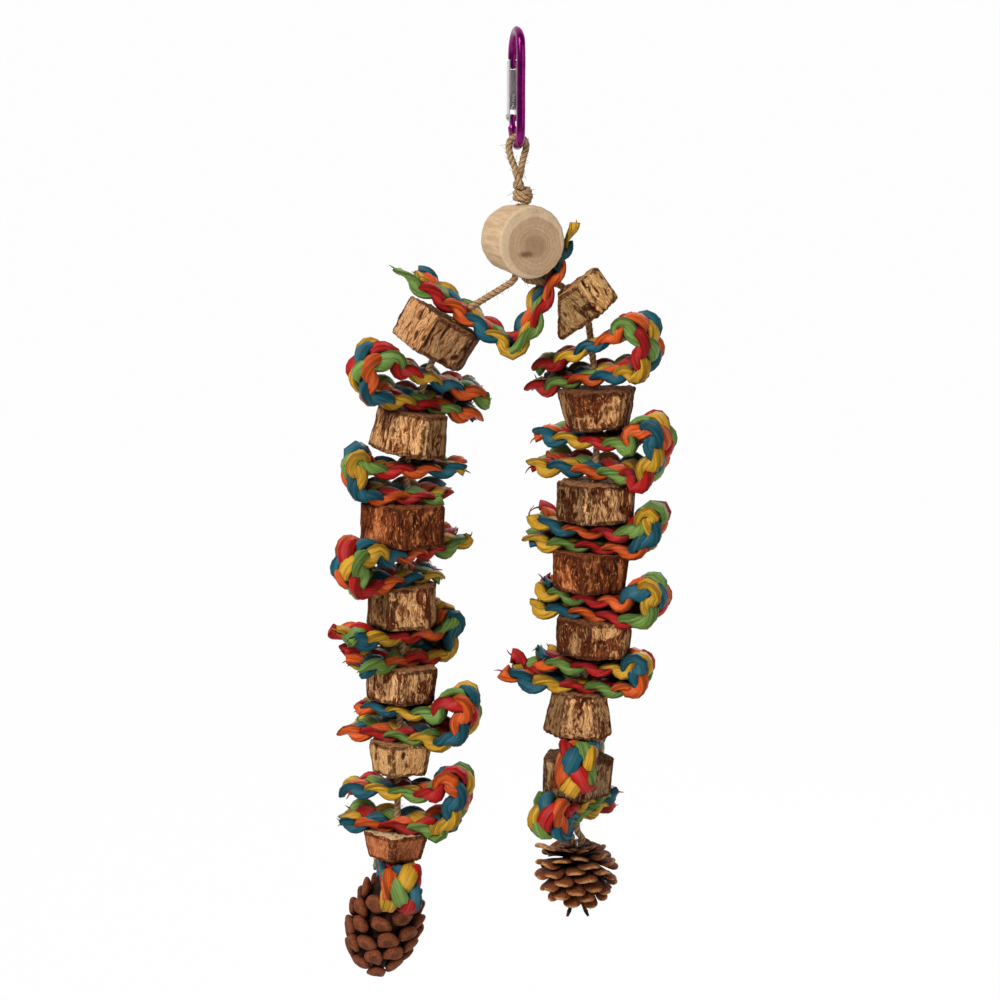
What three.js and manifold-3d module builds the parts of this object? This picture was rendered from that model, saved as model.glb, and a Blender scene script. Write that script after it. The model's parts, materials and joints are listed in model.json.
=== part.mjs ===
// A hanging chew toy for parrots: a sprung clip, a knotted jute cord, a drilled log slice and two legs
// strung with palm-wood blocks and folded palm-leaf braids, each ending in a pine cone.
// Millimetres, +Z up, hung from the origin at the inside of the clip's top bend. The front is -Y.
import * as THREE from 'three';
import { mergeVertices } from 'three/addons/utils/BufferGeometryUtils.js';
import Module from 'manifold-3d';

const wasm = await Module();
wasm.setup();

// Clearances
const SEAT = 0.5; // between pieces that rest on each other
const RUNNING = 0.4; // round a cord in its drilled hole
const TOUCH = 0.3; // between pieces that are fixed together

// Clip: a bent rod with a sprung sheet gate
const CLIP_LENGTH = 60;
const CLIP_WIDTH = 29;
const CLIP_ROD = 4.4;
const CLIP_YAW = 10; // degrees that the gate side turns to the left
const CLIP_LEAN = -1.8; // degrees that the clip's top leans to the right
const CLIP_APEX = 3.2; // how far the top and bottom bends peak toward the spine
const NOSE_DROP = 17; // from the inside of the top bend to the tip of the nose
const TONGUE = 2.6; // thickness of the flats on the nose and the foot
const TONGUE_LENGTH = 5;
const FOOT_RISE = 11; // from the inside of the bottom bend up to the rivet
const GATE_SHEET = 0.7;
const RIVET_RADIUS = 0.9;
const RIVET_HEAD = 1.6;
const SPRING_WIRE = 0.45;
const SPRING_RADIUS = 1.05;
const SPRING_PITCH = 1.2;
const SPRING_TURNS = 6;

// Cord
const CORD = 3.2; // diameter
const LOOP_HEIGHT = 20.5; // from the clip's bottom bar down to the knot
const STRAND_SPREAD = 3.8; // between the centres of two strands side by side
const KNOT_RADIUS = 4.4;
const KNOT_HEIGHT = 7.2;
const KNOT_X = 5; // the cord hangs a little to the right of the clip
const LOOP_SHIFT = -2; // the loop comes into the knot left of its middle
const CORD_BEND = 3.5; // how far before a corner the cord starts to turn
const PIVOT_GAP = 0.4; // between two lengths of cord that bend at a pivot

// Log slice
const LOG_DIAMETER = 36.4;
const LOG_LENGTH = 27.5;
const LOG_YAW = 24;
const LOG_EDGE = 0.9;
const LOG_TAPER = 0.91; // size of the back end

// Palm-leaf braids
const STRIP_WIDTH = 20;
const STRIP_THICKNESS = 4.6;
const SCALLOP = 1.7; // how far the edge dips between two strands
const STRAND_STEP = 6.8; // along the braid, from a bump on one edge to the next on the other
const FOLD_EDGE = 18; // from the cord to where a braid starts to bend beside the blocks
const SWAG_LIFT = 4.8; // between the swag and the block under it
const SWAG_ROLL = 26; // degrees that the swag's flat side turns to the front
// Route of the swag, from where the left cord passes through it and then from where the right one does
const SWAG_LEFT = [[-27, -2, 18], [-13, -1, 9], [0, 0, 0], [13, -2, -9], [25, -4, -16]];
const SWAG_RIGHT = [[-14.5, -5, -29], [-8.5, -4, -22], [-4.2, -2, -11], [0, 0, 0], [5.8, 8, 16], [10.4, 12, 34.5]];

// Wood blocks
const BLOCK_EDGE = 1.1;
const CORNER_CUT = 0.09; // share of a side that the rounded corner takes
const UNEVEN = 0.07; // how far the corners stray from an even outline
const BLOCK_CLEAR = 21.5; // no block reaches further from the cord than this

// Screw eyes and the cord loops that hold them
const EYE_RADIUS = 2.8;
const EYE_WIRE = 1.2; // diameter
const EYE_SHANK = 9;
const END_LOOP = 2.7; // radius of the cord's end loop
const GOLDEN_ANGLE = 137.508; // degrees from one scale of a cone to the next
const CORE_COVER = 1.2; // how far the core of a cone covers the roots of its scales
const CORE_LEAST = 3.2; // least radius of that core

// The legs. Angles are in degrees. A block has a lean (top toward +X), sizes, a number of sides, a turn
// round the cord, the size of its foot against its top, and a shift of its middle from the hole.
// A braid has half the height between its layers at the cord, its reach on the fold side, the lengths of
// its two ends, the yaw of the fold, and where needed a wedge between the layers, a tilt or a roll of
// the whole braid, a bulge, rise or sag of the fold, a perk of each end, ends that hang, and slack
// above it and lift below it on the cord.
const LEFT = {
  name: 'left',
  run: -31.5,
  drop: 23.1,
  neckLean: 18,
  plumb: 0,
  blocks: [
    { lean: 28, high: 21, wide: 46, deep: 36, sides: 5, turn: 29, foot: 0.97, shift: [-3.5, 0] },
    { lean: 7, high: 22, wide: 40, deep: 36, sides: 6, turn: -6, foot: 1.12, shift: [0, 0] },
    { lean: 0, high: 21.5, wide: 44, deep: 37, sides: 5, turn: -18, foot: 0.98, shift: [-1.5, 0] },
    { lean: 0, high: 22, wide: 37, deep: 36, sides: 6, turn: 18, foot: 1.02, shift: [-1, 0] },
    { lean: 0, high: 18.5, wide: 41, deep: 36, sides: 5, turn: -21, foot: 0.95, shift: [1, 0] },
    { lean: 0, high: 17.5, wide: 35, deep: 34, sides: 5, turn: -29, foot: 0.84, shift: [1, 0] },
    { lean: 0, high: 14.5, wide: 35, deep: 35, sides: 5, turn: -24, foot: 0.82, shift: [0, 0] },
  ],
  braids: [
    { open: 6.6, reach: 40, upper: 37, lower: 36, yaw: -145, wedge: 4, rise: 4, slack: 6, lift: 1.8, roll: -6 },
    { open: 6.8, reach: 30, upper: 28, lower: 22, yaw: -165, bulge: 2, rise: 9, slack: 3.6, lift: 0.8, roll: -6 },
    { open: 6.4, reach: 40, upper: 37, lower: 22, yaw: -135, bulge: 3, rise: 2, perk: [5, 0], roll: -5 },
    { open: 6.6, reach: 29, upper: 39, lower: 32, yaw: 38, bulge: 2, rise: 11, perk: [2, 0], roll: 6 },
    { open: 6.8, reach: 40, upper: 21, lower: 29, yaw: -22, bulge: 3, rise: 12, perk: [-4, -2], roll: 6 },
    { open: 9.4, reach: 36, upper: 28, lower: 32, yaw: -16, bulge: 3, rise: 16, perk: [-7, -2], slack: 4, roll: 8 },
    { open: 2.5, reach: 29, upper: 22, lower: 22, yaw: -80, bulge: 5, sag: 7 },
  ],
  bends: [0, 1, 5],
  cone: { high: 47, radius: 20, scales: 46, spread: 40, plate: 11, plateWidth: 11.5, plump: 2.6, tilt: 14, sink: 1 },
};
const RIGHT = {
  name: 'right',
  run: 22.5,
  drop: 5.6,
  neckLean: -9,
  plumb: 0.6,
  blocks: [
    { lean: -39, high: 19.5, wide: 40, deep: 35, sides: 4, turn: 12, foot: 0.97, shift: [2, 0], trim: 38 },
    { lean: -4, high: 20, wide: 39, deep: 36, sides: 5, turn: 23, foot: 0.8, shift: [0, 0] },
    { lean: 0.6, high: 20, wide: 43, deep: 39, sides: 5, turn: -25, foot: 0.97, shift: [0, 0] },
    { lean: 0.6, high: 20, wide: 42.5, deep: 36, sides: 6, turn: 26, foot: 0.95, shift: [-1, 0] },
    { lean: 0.6, high: 19, wide: 42, deep: 37, sides: 6, turn: 16, foot: 0.97, shift: [3, 0] },
    { lean: 0.6, high: 23, wide: 34.5, deep: 35, sides: 6, turn: -1, foot: 1.28, shift: [-2, 0] },
    { lean: 0.6, high: 21, wide: 37.5, deep: 35, sides: 5, turn: -6, foot: 0.95, shift: [-2.5, 0] },
  ],
  braids: [
    { open: 7.2, reach: 36, upper: 34, lower: 37, yaw: -32, wedge: 6, tilt: 11, slack: 9.5, lift: 3, rise: 6, roll: 6 },
    { open: 7.6, reach: 38, upper: 31, lower: 34, yaw: -28, bulge: 5, rise: 14, slack: 1.6, lift: 2.6, roll: 8 },
    { open: 4, reach: 35, upper: 30, lower: 32, yaw: -16, bulge: 2, rise: 14, perk: [7, 2], slack: 0.6, roll: 5 },
    { open: 3.8, reach: 39, upper: 27, lower: 29, yaw: -24, bulge: 4, rise: 10, perk: [5, 2], roll: 4 },
    { open: 5.2, reach: 31, upper: 25, lower: 40, yaw: -10, bulge: 2, rise: 6, slack: 1.5, perk: [4, 6], roll: 6 },
    { open: 2.5, reach: 31, upper: 10, lower: 6, yaw: 84, bulge: 3, slack: 0.4, hang: true },
    { open: 2.5, reach: 30, upper: 27, lower: 24, yaw: -125, bulge: 4, sag: 2, slack: 0, lift: 8.5 },
  ],
  bends: [0, 1, 4],
  cone: { high: 41, radius: 21, scales: 42, spread: 74, plate: 14, plateWidth: 11, plump: 1.8, tilt: -2, sink: 0 },
};

// Materials
const purple = new THREE.MeshStandardMaterial({ color: '#7d1270', roughness: 0.25, metalness: 0.9 });
const steel = new THREE.MeshStandardMaterial({ color: '#b9bbbe', roughness: 0.3, metalness: 1 });
const jute = new THREE.MeshStandardMaterial({ color: '#a87f55', roughness: 0.95, metalness: 0 });
const peeledWood = new THREE.MeshStandardMaterial({ color: '#d8b58c', roughness: 0.8, metalness: 0 });
const palmWood = new THREE.MeshStandardMaterial({ color: '#b98f63', roughness: 0.9, metalness: 0 });
const coneBrown = new THREE.MeshStandardMaterial({ color: '#86502f', roughness: 0.85, metalness: 0 });
const palmLeaf = new THREE.MeshStandardMaterial({ color: '#d9682e', roughness: 0.6, metalness: 0 });

const vec = (x, y, z) => new THREE.Vector3(x, y, z);
const radians = THREE.MathUtils.degToRad;

// Closed meshes and solids

function signedVolume(points, triangles) {
  let sum = 0;
  for (let i = 0; i < triangles.length; i += 3) {
    const [a, b, c] = [0, 1, 2].map((k) => vec(...points.slice(3 * triangles[i + k], 3 * triangles[i + k] + 3)));
    sum += a.dot(b.cross(c)) / 6;
  }
  return sum;
}

function solid(geometry) {
  const bare = new THREE.BufferGeometry();
  bare.setAttribute('position', geometry.getAttribute('position'));
  bare.setIndex(geometry.getIndex());
  const merged = mergeVertices(bare, 1e-4);
  const points = Float32Array.from(merged.getAttribute('position').array);
  const triangles = Uint32Array.from(merged.getIndex().array);
  if (signedVolume(points, triangles) < 0) {
    triangles.reverse();
  }
  return new wasm.Manifold(new wasm.Mesh({ numProp: 3, vertProperties: points, triVerts: triangles }));
}

function toGeometry(body) {
  const mesh = body.getMesh();
  const geometry = new THREE.BufferGeometry();
  geometry.setAttribute('position', new THREE.BufferAttribute(Float32Array.from(mesh.vertProperties), 3));
  geometry.setIndex(Array.from(mesh.triVerts));
  geometry.computeVertexNormals();
  return geometry;
}

function piece(name, body, material) {
  const mesh = new THREE.Mesh(toGeometry(body), material);
  mesh.name = name;
  return mesh;
}

// A closed skin over rings of equally many points, capped at both ends
function loft(rings) {
  const count = rings[0].length;
  const index = [];
  for (let i = 0; i < rings.length - 1; i++) {
    for (let k = 0; k < count; k++) {
      const a = i * count + k;
      const b = i * count + ((k + 1) % count);
      index.push(a, b, a + count, b, b + count, a + count);
    }
  }
  const last = (rings.length - 1) * count;
  for (let k = 1; k < count - 1; k++) {
    index.push(0, k + 1, k, last, last + k, last + k + 1);
  }
  const geometry = new THREE.BufferGeometry();
  geometry.setAttribute('position', new THREE.Float32BufferAttribute(rings.flat().flatMap((p) => p.toArray()), 3));
  geometry.setIndex(index);
  return geometry;
}

function cylinder(radius, length, sides) {
  return new THREE.CylinderGeometry(radius, radius, length, sides).rotateX(Math.PI / 2);
}

function bore(radius, length) {
  const sides = 10;
  return solid(cylinder(radius / Math.cos(Math.PI / sides), length, sides));
}

function revolve(profile, sides) {
  const points = profile.map(([r, z]) => new THREE.Vector2(r, z));
  return new THREE.LatheGeometry(points, sides).rotateX(Math.PI / 2);
}

function box(wide, deep, high) {
  return new THREE.BoxGeometry(wide, deep, high);
}

// Cords

function toward(from, to, distance) {
  return from.clone().lerp(to, Math.min(0.45, distance / from.distanceTo(to)));
}

// Straight runs joined by short bends
function cordPath(points) {
  const path = new THREE.CurvePath();
  let from = points[0];
  for (let i = 1; i < points.length - 1; i++) {
    const before = toward(points[i], points[i - 1], CORD_BEND);
    const after = toward(points[i], points[i + 1], CORD_BEND);
    path.add(new THREE.LineCurve3(from, before));
    path.add(new THREE.QuadraticBezierCurve3(before, points[i], after));
    from = after;
  }
  path.add(new THREE.LineCurve3(from, points.at(-1)));
  return path;
}

function tube(path, diameter, step, points = 8) {
  const section = new THREE.Shape().absarc(0, 0, diameter / 2, 0, 2 * Math.PI);
  const steps = Math.max(1, Math.ceil(path.getLength() / step));
  return new THREE.ExtrudeGeometry(section, { extrudePath: path, steps, curveSegments: points / 2 });
}

function straightCord(from, to) {
  return solid(tube(new THREE.LineCurve3(from, to), CORD, from.distanceTo(to)));
}

function ball(radius, at) {
  return solid(new THREE.SphereGeometry(radius, 8, 6).translate(at.x, at.y, at.z));
}

// Places along a leaning cord
function down(from, lean, distance) {
  const angle = radians(lean);
  return vec(from.x - Math.sin(angle) * distance, from.y, from.z - Math.cos(angle) * distance);
}

function seat(at, lean) {
  const group = new THREE.Group();
  group.position.copy(at);
  group.rotation.y = radians(lean);
  return group;
}

// Clip

const clipBottom = -(CLIP_LENGTH - 1.5 * CLIP_ROD); // middle of the bottom bar
const spineY = CLIP_APEX - (CLIP_WIDTH - CLIP_ROD) / 2;
const gateY = spineY + CLIP_WIDTH - CLIP_ROD;
const rivetZ = clipBottom + CLIP_ROD / 2 + FOOT_RISE;
const noseZ = -NOSE_DROP;
const channel = TONGUE + 2 * TOUCH; // inside width of the gate

// A D outline: both bends peak near the spine and slope to the gate side
function clipPath() {
  const top = CLIP_ROD / 2;
  const back = spineY + 0.5 * CLIP_ROD;
  const points = [
    [gateY, noseZ],
    [gateY, noseZ + TONGUE_LENGTH],
    [gateY - 1.5, top - 0.45 * NOSE_DROP],
    [0.5 * gateY, top - 0.1 * NOSE_DROP],
    [0, top],
    [back, top - 0.18 * NOSE_DROP],
    [spineY, top - 0.55 * NOSE_DROP],
    [spineY, (clipBottom + top) / 2],
    [spineY, clipBottom + 0.55 * NOSE_DROP],
    [back, clipBottom + 0.18 * NOSE_DROP],
    [0, clipBottom],
    [0.5 * gateY, clipBottom + 0.12 * FOOT_RISE],
    [gateY - 1.2, clipBottom + 0.6 * FOOT_RISE],
    [gateY, rivetZ - TONGUE],
    [gateY, rivetZ + TONGUE / 2],
  ];
  return new THREE.CatmullRomCurve3(points.map(([y, z]) => vec(0, y, z)), false, 'centripetal');
}

// Flats that leave a tongue of the rod between the gate's cheeks
function flats(z, length) {
  const wide = CLIP_ROD;
  const side = (TONGUE + wide) / 2;
  const slab = () => box(wide, 2 * CLIP_ROD, length);
  return solid(slab().translate(side, gateY, z)).add(solid(slab().translate(-side, gateY, z)));
}

function clipBody() {
  const rod = solid(tube(clipPath(), CLIP_ROD, CLIP_ROD));
  const rivetHole = bore(RIVET_RADIUS + TOUCH, 2 * CLIP_ROD).rotate([0, 90, 0]).translate([0, gateY, rivetZ]);
  const foot = TONGUE_LENGTH + CLIP_ROD;
  return rod
    .subtract(flats(noseZ + TONGUE_LENGTH / 2 - TOUCH, TONGUE_LENGTH))
    .subtract(flats(rivetZ, foot))
    .subtract(rivetHole);
}

const gateTop = noseZ + TONGUE_LENGTH - 2 * TOUCH;
const gateDepth = CLIP_ROD + 2 * GATE_SHEET;

// A folded sheet: two cheeks that straddle the nose and the foot, and a web between them
function clipGate() {
  const outside = channel + 2 * GATE_SHEET;
  const foot = CLIP_ROD / 2;
  const high = gateTop - rivetZ + foot;
  const middle = rivetZ - foot + high / 2;
  const shell = solid(box(outside, gateDepth, high).translate(0, gateY, middle));
  const inside = solid(box(channel, gateDepth, 2 * high).translate(0, gateY - GATE_SHEET, middle));
  const webEnds = [
    [noseZ - TOUCH, gateTop + 1],
    [rivetZ - foot - 1, rivetZ + CLIP_ROD * 0.75],
  ];
  const hole = bore(RIVET_RADIUS + TOUCH, 2 * outside).rotate([0, 90, 0]).translate([0, gateY, rivetZ]);
  let gate = shell.subtract(inside).subtract(hole);
  for (const [low, up] of webEnds) {
    const cut = box(channel, 2 * gateDepth, up - low).translate(0, gateY + gateDepth / 2, (low + up) / 2);
    gate = gate.subtract(solid(cut));
  }
  return gate;
}

function rivet() {
  const half = channel / 2 + GATE_SHEET + TOUCH;
  const head = 0.7;
  const profile = [
    [0, -half - head],
    [RIVET_HEAD * 0.6, -half - head],
    [RIVET_HEAD, -half - head / 3],
    [RIVET_HEAD, -half],
    [RIVET_RADIUS, -half],
    [RIVET_RADIUS, half],
    [RIVET_HEAD, half],
    [RIVET_HEAD, half + head / 3],
    [RIVET_HEAD * 0.6, half + head],
    [0, half + head],
  ];
  return solid(revolve(profile, 10)).rotate([0, 90, 0]).translate([0, gateY, rivetZ]);
}

class Helix extends THREE.Curve {
  constructor(base) {
    super();
    this.base = base;
  }
  getPoint(t) {
    const angle = 2 * Math.PI * SPRING_TURNS * t;
    const rise = SPRING_PITCH * SPRING_TURNS * t;
    return vec(SPRING_RADIUS * Math.cos(angle), SPRING_RADIUS * Math.sin(angle), rise).add(this.base);
  }
}

// Prints the least gap between turns of the spring
function gateSpring() {
  const path = new Helix(vec(0, gateY, rivetZ + CLIP_ROD * 0.75));
  const steps = 8;
  const points = path.getSpacedPoints(SPRING_TURNS * steps);
  const gaps = points.slice(steps).map((p, i) => p.distanceTo(points[i]) - SPRING_WIRE);
  console.log('gate spring, least gap to itself in mm:', Math.min(...gaps).toFixed(2));
  const section = new THREE.Shape();
  for (let k = 0; k < 5; k++) {
    const angle = (2 * Math.PI * k) / 5;
    const [x, y] = [(SPRING_WIRE / 2) * Math.cos(angle), (SPRING_WIRE / 2) * Math.sin(angle)];
    if (k === 0) section.moveTo(x, y);
    else section.lineTo(x, y);
  }
  return solid(new THREE.ExtrudeGeometry(section, { extrudePath: path, steps: SPRING_TURNS * steps }));
}

// Hanging loop, knot and log

const barX = clipBottom * Math.sin(radians(CLIP_LEAN)); // the bottom bar's place across
const knotTop = clipBottom - LOOP_HEIGHT;
const logTop = knotTop - KNOT_HEIGHT - TOUCH;
const logMiddle = logTop - LOG_DIAMETER / 2;
const logBottom = logTop - LOG_DIAMETER;

function hangingLoop() {
  const round = CLIP_ROD / 2 + CORD / 2 + RUNNING;
  const half = STRAND_SPREAD / 2;
  const low = knotTop + TOUCH;
  const foot = KNOT_X + LOOP_SHIFT;
  const waist = (barX + foot) / 2;
  const points = [
    [foot - half, low],
    [foot - half - 0.2, low + 0.12 * LOOP_HEIGHT],
    [waist - half, low + 0.42 * LOOP_HEIGHT],
    [barX - round + 0.2, low + 0.72 * LOOP_HEIGHT],
    [barX - round, clipBottom],
    [barX - 0.7 * round, clipBottom + 0.72 * round],
    [barX, clipBottom + round],
    [barX + 0.7 * round, clipBottom + 0.72 * round],
    [barX + round, clipBottom],
    [barX + round, low + 0.72 * LOOP_HEIGHT],
    [waist + half, low + 0.42 * LOOP_HEIGHT],
    [foot + half + 0.2, low + 0.12 * LOOP_HEIGHT],
    [foot + half, low],
  ];
  const path = new THREE.CatmullRomCurve3(points.map(([x, z]) => vec(x, 0, z)), false, 'centripetal');
  return solid(tube(path, CORD, CORD));
}

// Two turns of cord round the strands
function knot() {
  const turn = KNOT_HEIGHT / 2;
  const profile = [[0, 0], [KNOT_RADIUS * 0.6, 0]];
  for (const low of [0, turn]) {
    profile.push([KNOT_RADIUS * 0.92, low + turn * 0.2]);
    profile.push([KNOT_RADIUS, low + turn * 0.5]);
    profile.push([KNOT_RADIUS * 0.9, low + turn * 0.82]);
  }
  profile.push([KNOT_RADIUS * 0.55, 2 * turn], [0, 2 * turn]);
  return solid(revolve(profile, 12)).translate([KNOT_X, 0, knotTop - KNOT_HEIGHT]);
}

// A peeled slice lying on its side, a little oval, narrower at the back, with a hole worn wide below
function logSlice() {
  const sides = 22;
  const ends = [
    [-LOG_LENGTH / 2, 1, LOG_EDGE],
    [-LOG_LENGTH / 2 + LOG_EDGE, 1, 0],
    [LOG_LENGTH / 2 - LOG_EDGE, LOG_TAPER, 0],
    [LOG_LENGTH / 2, LOG_TAPER, LOG_EDGE],
  ];
  const ring = ([y, size, inset]) =>
    Array.from({ length: sides }, (_, k) => {
      const angle = (2 * Math.PI * k) / sides;
      const radius = (LOG_DIAMETER / 2) * size * (1 - 0.012 * (1 - Math.cos(2 * angle))) - inset;
      return vec(radius * Math.sin(angle), y, radius * Math.cos(angle));
    });
  const hole = STRAND_SPREAD / 2 + CORD / 2 + RUNNING;
  const reach = LOG_DIAMETER / 2 + 2;
  const mouth = hole + CORD;
  const profile = [
    [0, -reach],
    [mouth + CORD / 2, -reach],
    [hole, -reach + 2 * CORD],
    [hole, reach],
    [0, reach],
  ];
  return solid(loft(ends.map(ring))).subtract(solid(revolve(profile, 12)));
}

// Blocks

// Corners come from an even polygon that strays by a repeatable wave
function blockRing(block, z, size) {
  const corner = (k) => {
    const wave = Math.sin(2.4 * k + block.turn + block.high);
    const angle = radians(block.turn) + (2 * Math.PI * (k + UNEVEN * wave)) / block.sides;
    const reach = size * (1 + UNEVEN * Math.cos(1.7 * k + block.wide));
    const x = (block.wide / 2) * reach * Math.cos(angle) + block.shift[0];
    const y = (block.deep / 2) * reach * Math.sin(angle) + block.shift[1];
    return vec(x, y, z);
  };
  const ring = [];
  for (let k = 0; k < block.sides; k++) {
    const here = corner(k);
    ring.push(here.clone().lerp(corner(k + block.sides - 1), CORNER_CUT));
    ring.push(here.clone().lerp(corner((k + 1) % block.sides), CORNER_CUT));
  }
  return ring;
}

function woodBlock(block) {
  const half = block.high / 2;
  const inset = (2 * BLOCK_EDGE) / block.wide;
  const top = 2 / (1 + block.foot);
  const foot = top * block.foot;
  const rings = [
    blockRing(block, -half, foot - inset),
    blockRing(block, -half + BLOCK_EDGE, foot),
    blockRing(block, half - BLOCK_EDGE, top),
    blockRing(block, half, top - inset),
  ];
  let body = solid(loft(rings));
  if (block.trim) {
    const size = 2 * block.wide;
    const slab = box(size, size, size).translate(-size / 2 - CORD, 0, 0);
    body = body.subtract(solid(slab.rotateY(radians(block.trim)).translate(0, 0, half)));
  }
  return body.subtract(bore(CORD / 2 + RUNNING, 2 * block.high));
}

// Braids

// A flat strip along a curve. Its edges bulge by turns, left and right, where the strands turn back.
function strip(curve, side) {
  const count = Math.ceil(curve.getLength() / STRAND_STEP);
  const rings = [];
  for (let i = 0; i <= count; i++) {
    const at = curve.getPointAt(i / count);
    const along = curve.getTangentAt(i / count);
    const across = side(i / count).clone().addScaledVector(along, -side(i / count).dot(along)).normalize();
    const out = across.clone().cross(along);
    const end = i === 0 || i === count;
    const thick = (STRIP_THICKNESS / 2) * (end ? 0.4 : 1);
    const left = end ? STRIP_WIDTH / 4 : STRIP_WIDTH / 2 - SCALLOP * (i % 2);
    const right = end ? STRIP_WIDTH / 4 : STRIP_WIDTH / 2 - SCALLOP * ((i + 1) % 2);
    const point = (u, v) => at.clone().addScaledVector(across, u).addScaledVector(out, v);
    rings.push([
      point(right, 0),
      point(right * 0.62, thick),
      point(-left * 0.62, thick),
      point(-left, 0),
      point(-left * 0.62, -thick),
      point(right * 0.62, -thick),
    ]);
  }
  return solid(loft(rings));
}

// Centre line of a braid folded back on itself: the fold is toward +X and the cord runs along Z.
function hairpin(braid) {
  const { open, reach, upper, lower } = braid;
  const slope = Math.tan(radians(braid.wedge ?? 0));
  const sag = braid.sag ?? 0;
  const half = (x) => open + slope * x;
  const tip = reach - STRIP_THICKNESS / 2;
  const round = half(tip) + (braid.bulge ?? 1);
  const turn = Math.max(tip - round, Math.min(BLOCK_CLEAR + 2, 0.8 * tip));
  const curl = (x) => (braid.rise ?? 0) * Math.max(0, (x - FOLD_EDGE) / (tip - FOLD_EDGE)) ** 2;
  const droop = (x) => curl(x) - sag * Math.max(0, x / reach) ** 2;
  const flat = Math.min(turn - 2, BLOCK_CLEAR);
  const layer = (sign) => [
    vec(0, 0, sign * half(0)),
    vec(0.5 * flat, 0, sign * half(0.5 * flat) + droop(0.5 * flat)),
    vec(flat, 0, sign * half(flat) + droop(flat)),
    vec(turn, 0, sign * round + droop(turn)),
    vec(turn + 0.72 * (tip - turn), 0, sign * 0.72 * round + droop(turn + 0.72 * (tip - turn))),
  ];
  const [upperPerk, lowerPerk] = braid.perk ?? [0, 0];
  const end = (sign, length, perk) => (braid.hang ? hangingEnd(braid, sign, length) : [
    vec(-length, 0, sign * half(-length) + perk),
    vec(-(length + FOLD_EDGE) / 2, 0, sign * half(-(length + FOLD_EDGE) / 2) + perk / 4),
    vec(-FOLD_EDGE / 2, 0, sign * half(-FOLD_EDGE / 2)),
  ]);
  const points = [
    ...end(1, upper, upperPerk),
    ...layer(1),
    vec(tip, 0, droop(tip)),
    ...layer(-1).reverse(),
    ...end(-1, lower, lowerPerk).reverse(),
  ];
  const tilt = radians(braid.tilt ?? 0);
  points.forEach((p) => p.applyAxisAngle(vec(0, 1, 0), -tilt));
  return new THREE.CatmullRomCurve3(points, false, 'centripetal');
}

// Both ends turn down past the edge of the block below and hang beside it.
function hangingEnd(braid, sign, length) {
  const centre = -braid.open - STRIP_THICKNESS;
  const beside = BLOCK_CLEAR + SEAT + STRIP_THICKNESS / 2 - FOLD_EDGE;
  const round = beside + braid.open * (1 + sign);
  return [
    vec(-FOLD_EDGE - round, 0, centre - length),
    vec(-FOLD_EDGE - round, 0, centre - 0.4 * length),
    vec(-FOLD_EDGE - 0.72 * round, 0, centre + 0.7 * round),
    vec(-FOLD_EDGE, 0, sign * braid.open),
    vec(-FOLD_EDGE / 2, 0, sign * braid.open),
  ];
}

function foldedBraid(braid) {
  const hole = bore(CORD / 2 + RUNNING, 4 * (braid.open + BLOCK_CLEAR));
  const flat = strip(hairpin(braid), () => vec(0, 1, 0));
  return flat.rotate([braid.roll ?? 0, 0, 0]).subtract(hole);
}

// Half the height that one layer takes up, with its roll
function halfLayer(braid) {
  const roll = Math.abs(radians(braid.roll ?? 0));
  return (STRIP_THICKNESS / 2) * Math.cos(roll) + 0.31 * STRIP_WIDTH * Math.sin(roll);
}

// Height that a braid takes up on the cord
function gap(braid) {
  return 2 * (braid.open + halfLayer(braid) + SEAT) + (braid.slack ?? 0) + (braid.lift ?? 0);
}

// The swag hangs across the front of both diagonal cords.
function swag(left, right) {
  const points = [
    ...SWAG_LEFT.map((step) => left.clone().add(vec(...step))),
    ...SWAG_RIGHT.map((step) => right.clone().add(vec(...step))),
  ];
  const curve = new THREE.CatmullRomCurve3(points, false, 'centripetal');
  const roll = radians(SWAG_ROLL);
  return strip(curve, (t) => vec(-Math.sin(roll) * t, Math.cos(roll), Math.sin(roll) * (1 - t)));
}

// Pine cones

// The cone hangs with its stalk end up at z = 0. Its scales follow a golden-angle spiral.
function coneRadius(cone, t) {
  return cone.radius * Math.sin(Math.PI * (0.24 + 0.7 * t)) ** 0.9;
}

// A scale leans out and down from its root to its tip, less and less toward the point of the cone.
function scalePlace(cone, t) {
  const lean = radians(THREE.MathUtils.lerp(cone.spread + 22, cone.spread * 0.3, t));
  const long = cone.plate * (0.75 + 0.25 * Math.sin(Math.PI * t));
  const out = vec(Math.sin(lean), 0, -Math.cos(lean));
  const normal = vec(Math.cos(lean), 0, Math.sin(lean));
  const tip = vec(coneRadius(cone, t), 0, cone.high * (0.05 - 0.93 * t));
  const root = tip.clone().addScaledVector(out, -long);
  return { tip, root, out, normal, long };
}

function coneScale(cone, i) {
  const t = (i + 0.5) / cone.scales;
  const { tip, out, normal, long } = scalePlace(cone, t);
  const wide = cone.plateWidth * (0.62 + 0.38 * Math.sin(Math.PI * (0.25 + 0.6 * t)));
  const section = (back, width, thick, lift) => {
    const at = tip.clone().addScaledVector(out, -back).addScaledVector(normal, lift);
    const across = vec(0, width / 2, 0);
    const up = normal.clone().multiplyScalar(thick / 2);
    return [
      at.clone().add(across),
      at.clone().add(up),
      at.clone().sub(across),
      at.clone().sub(up),
    ];
  };
  const rings = [
    section(long, wide * 0.45, 1.6, 0),
    section(0.2 * long, wide, cone.plump + 1, 0.1 * cone.plump),
    section(0, wide * 0.5, cone.plump * 0.6, 0.3 * cone.plump),
  ];
  return solid(loft(rings)).rotate([0, 0, i * GOLDEN_ANGLE]);
}

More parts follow.
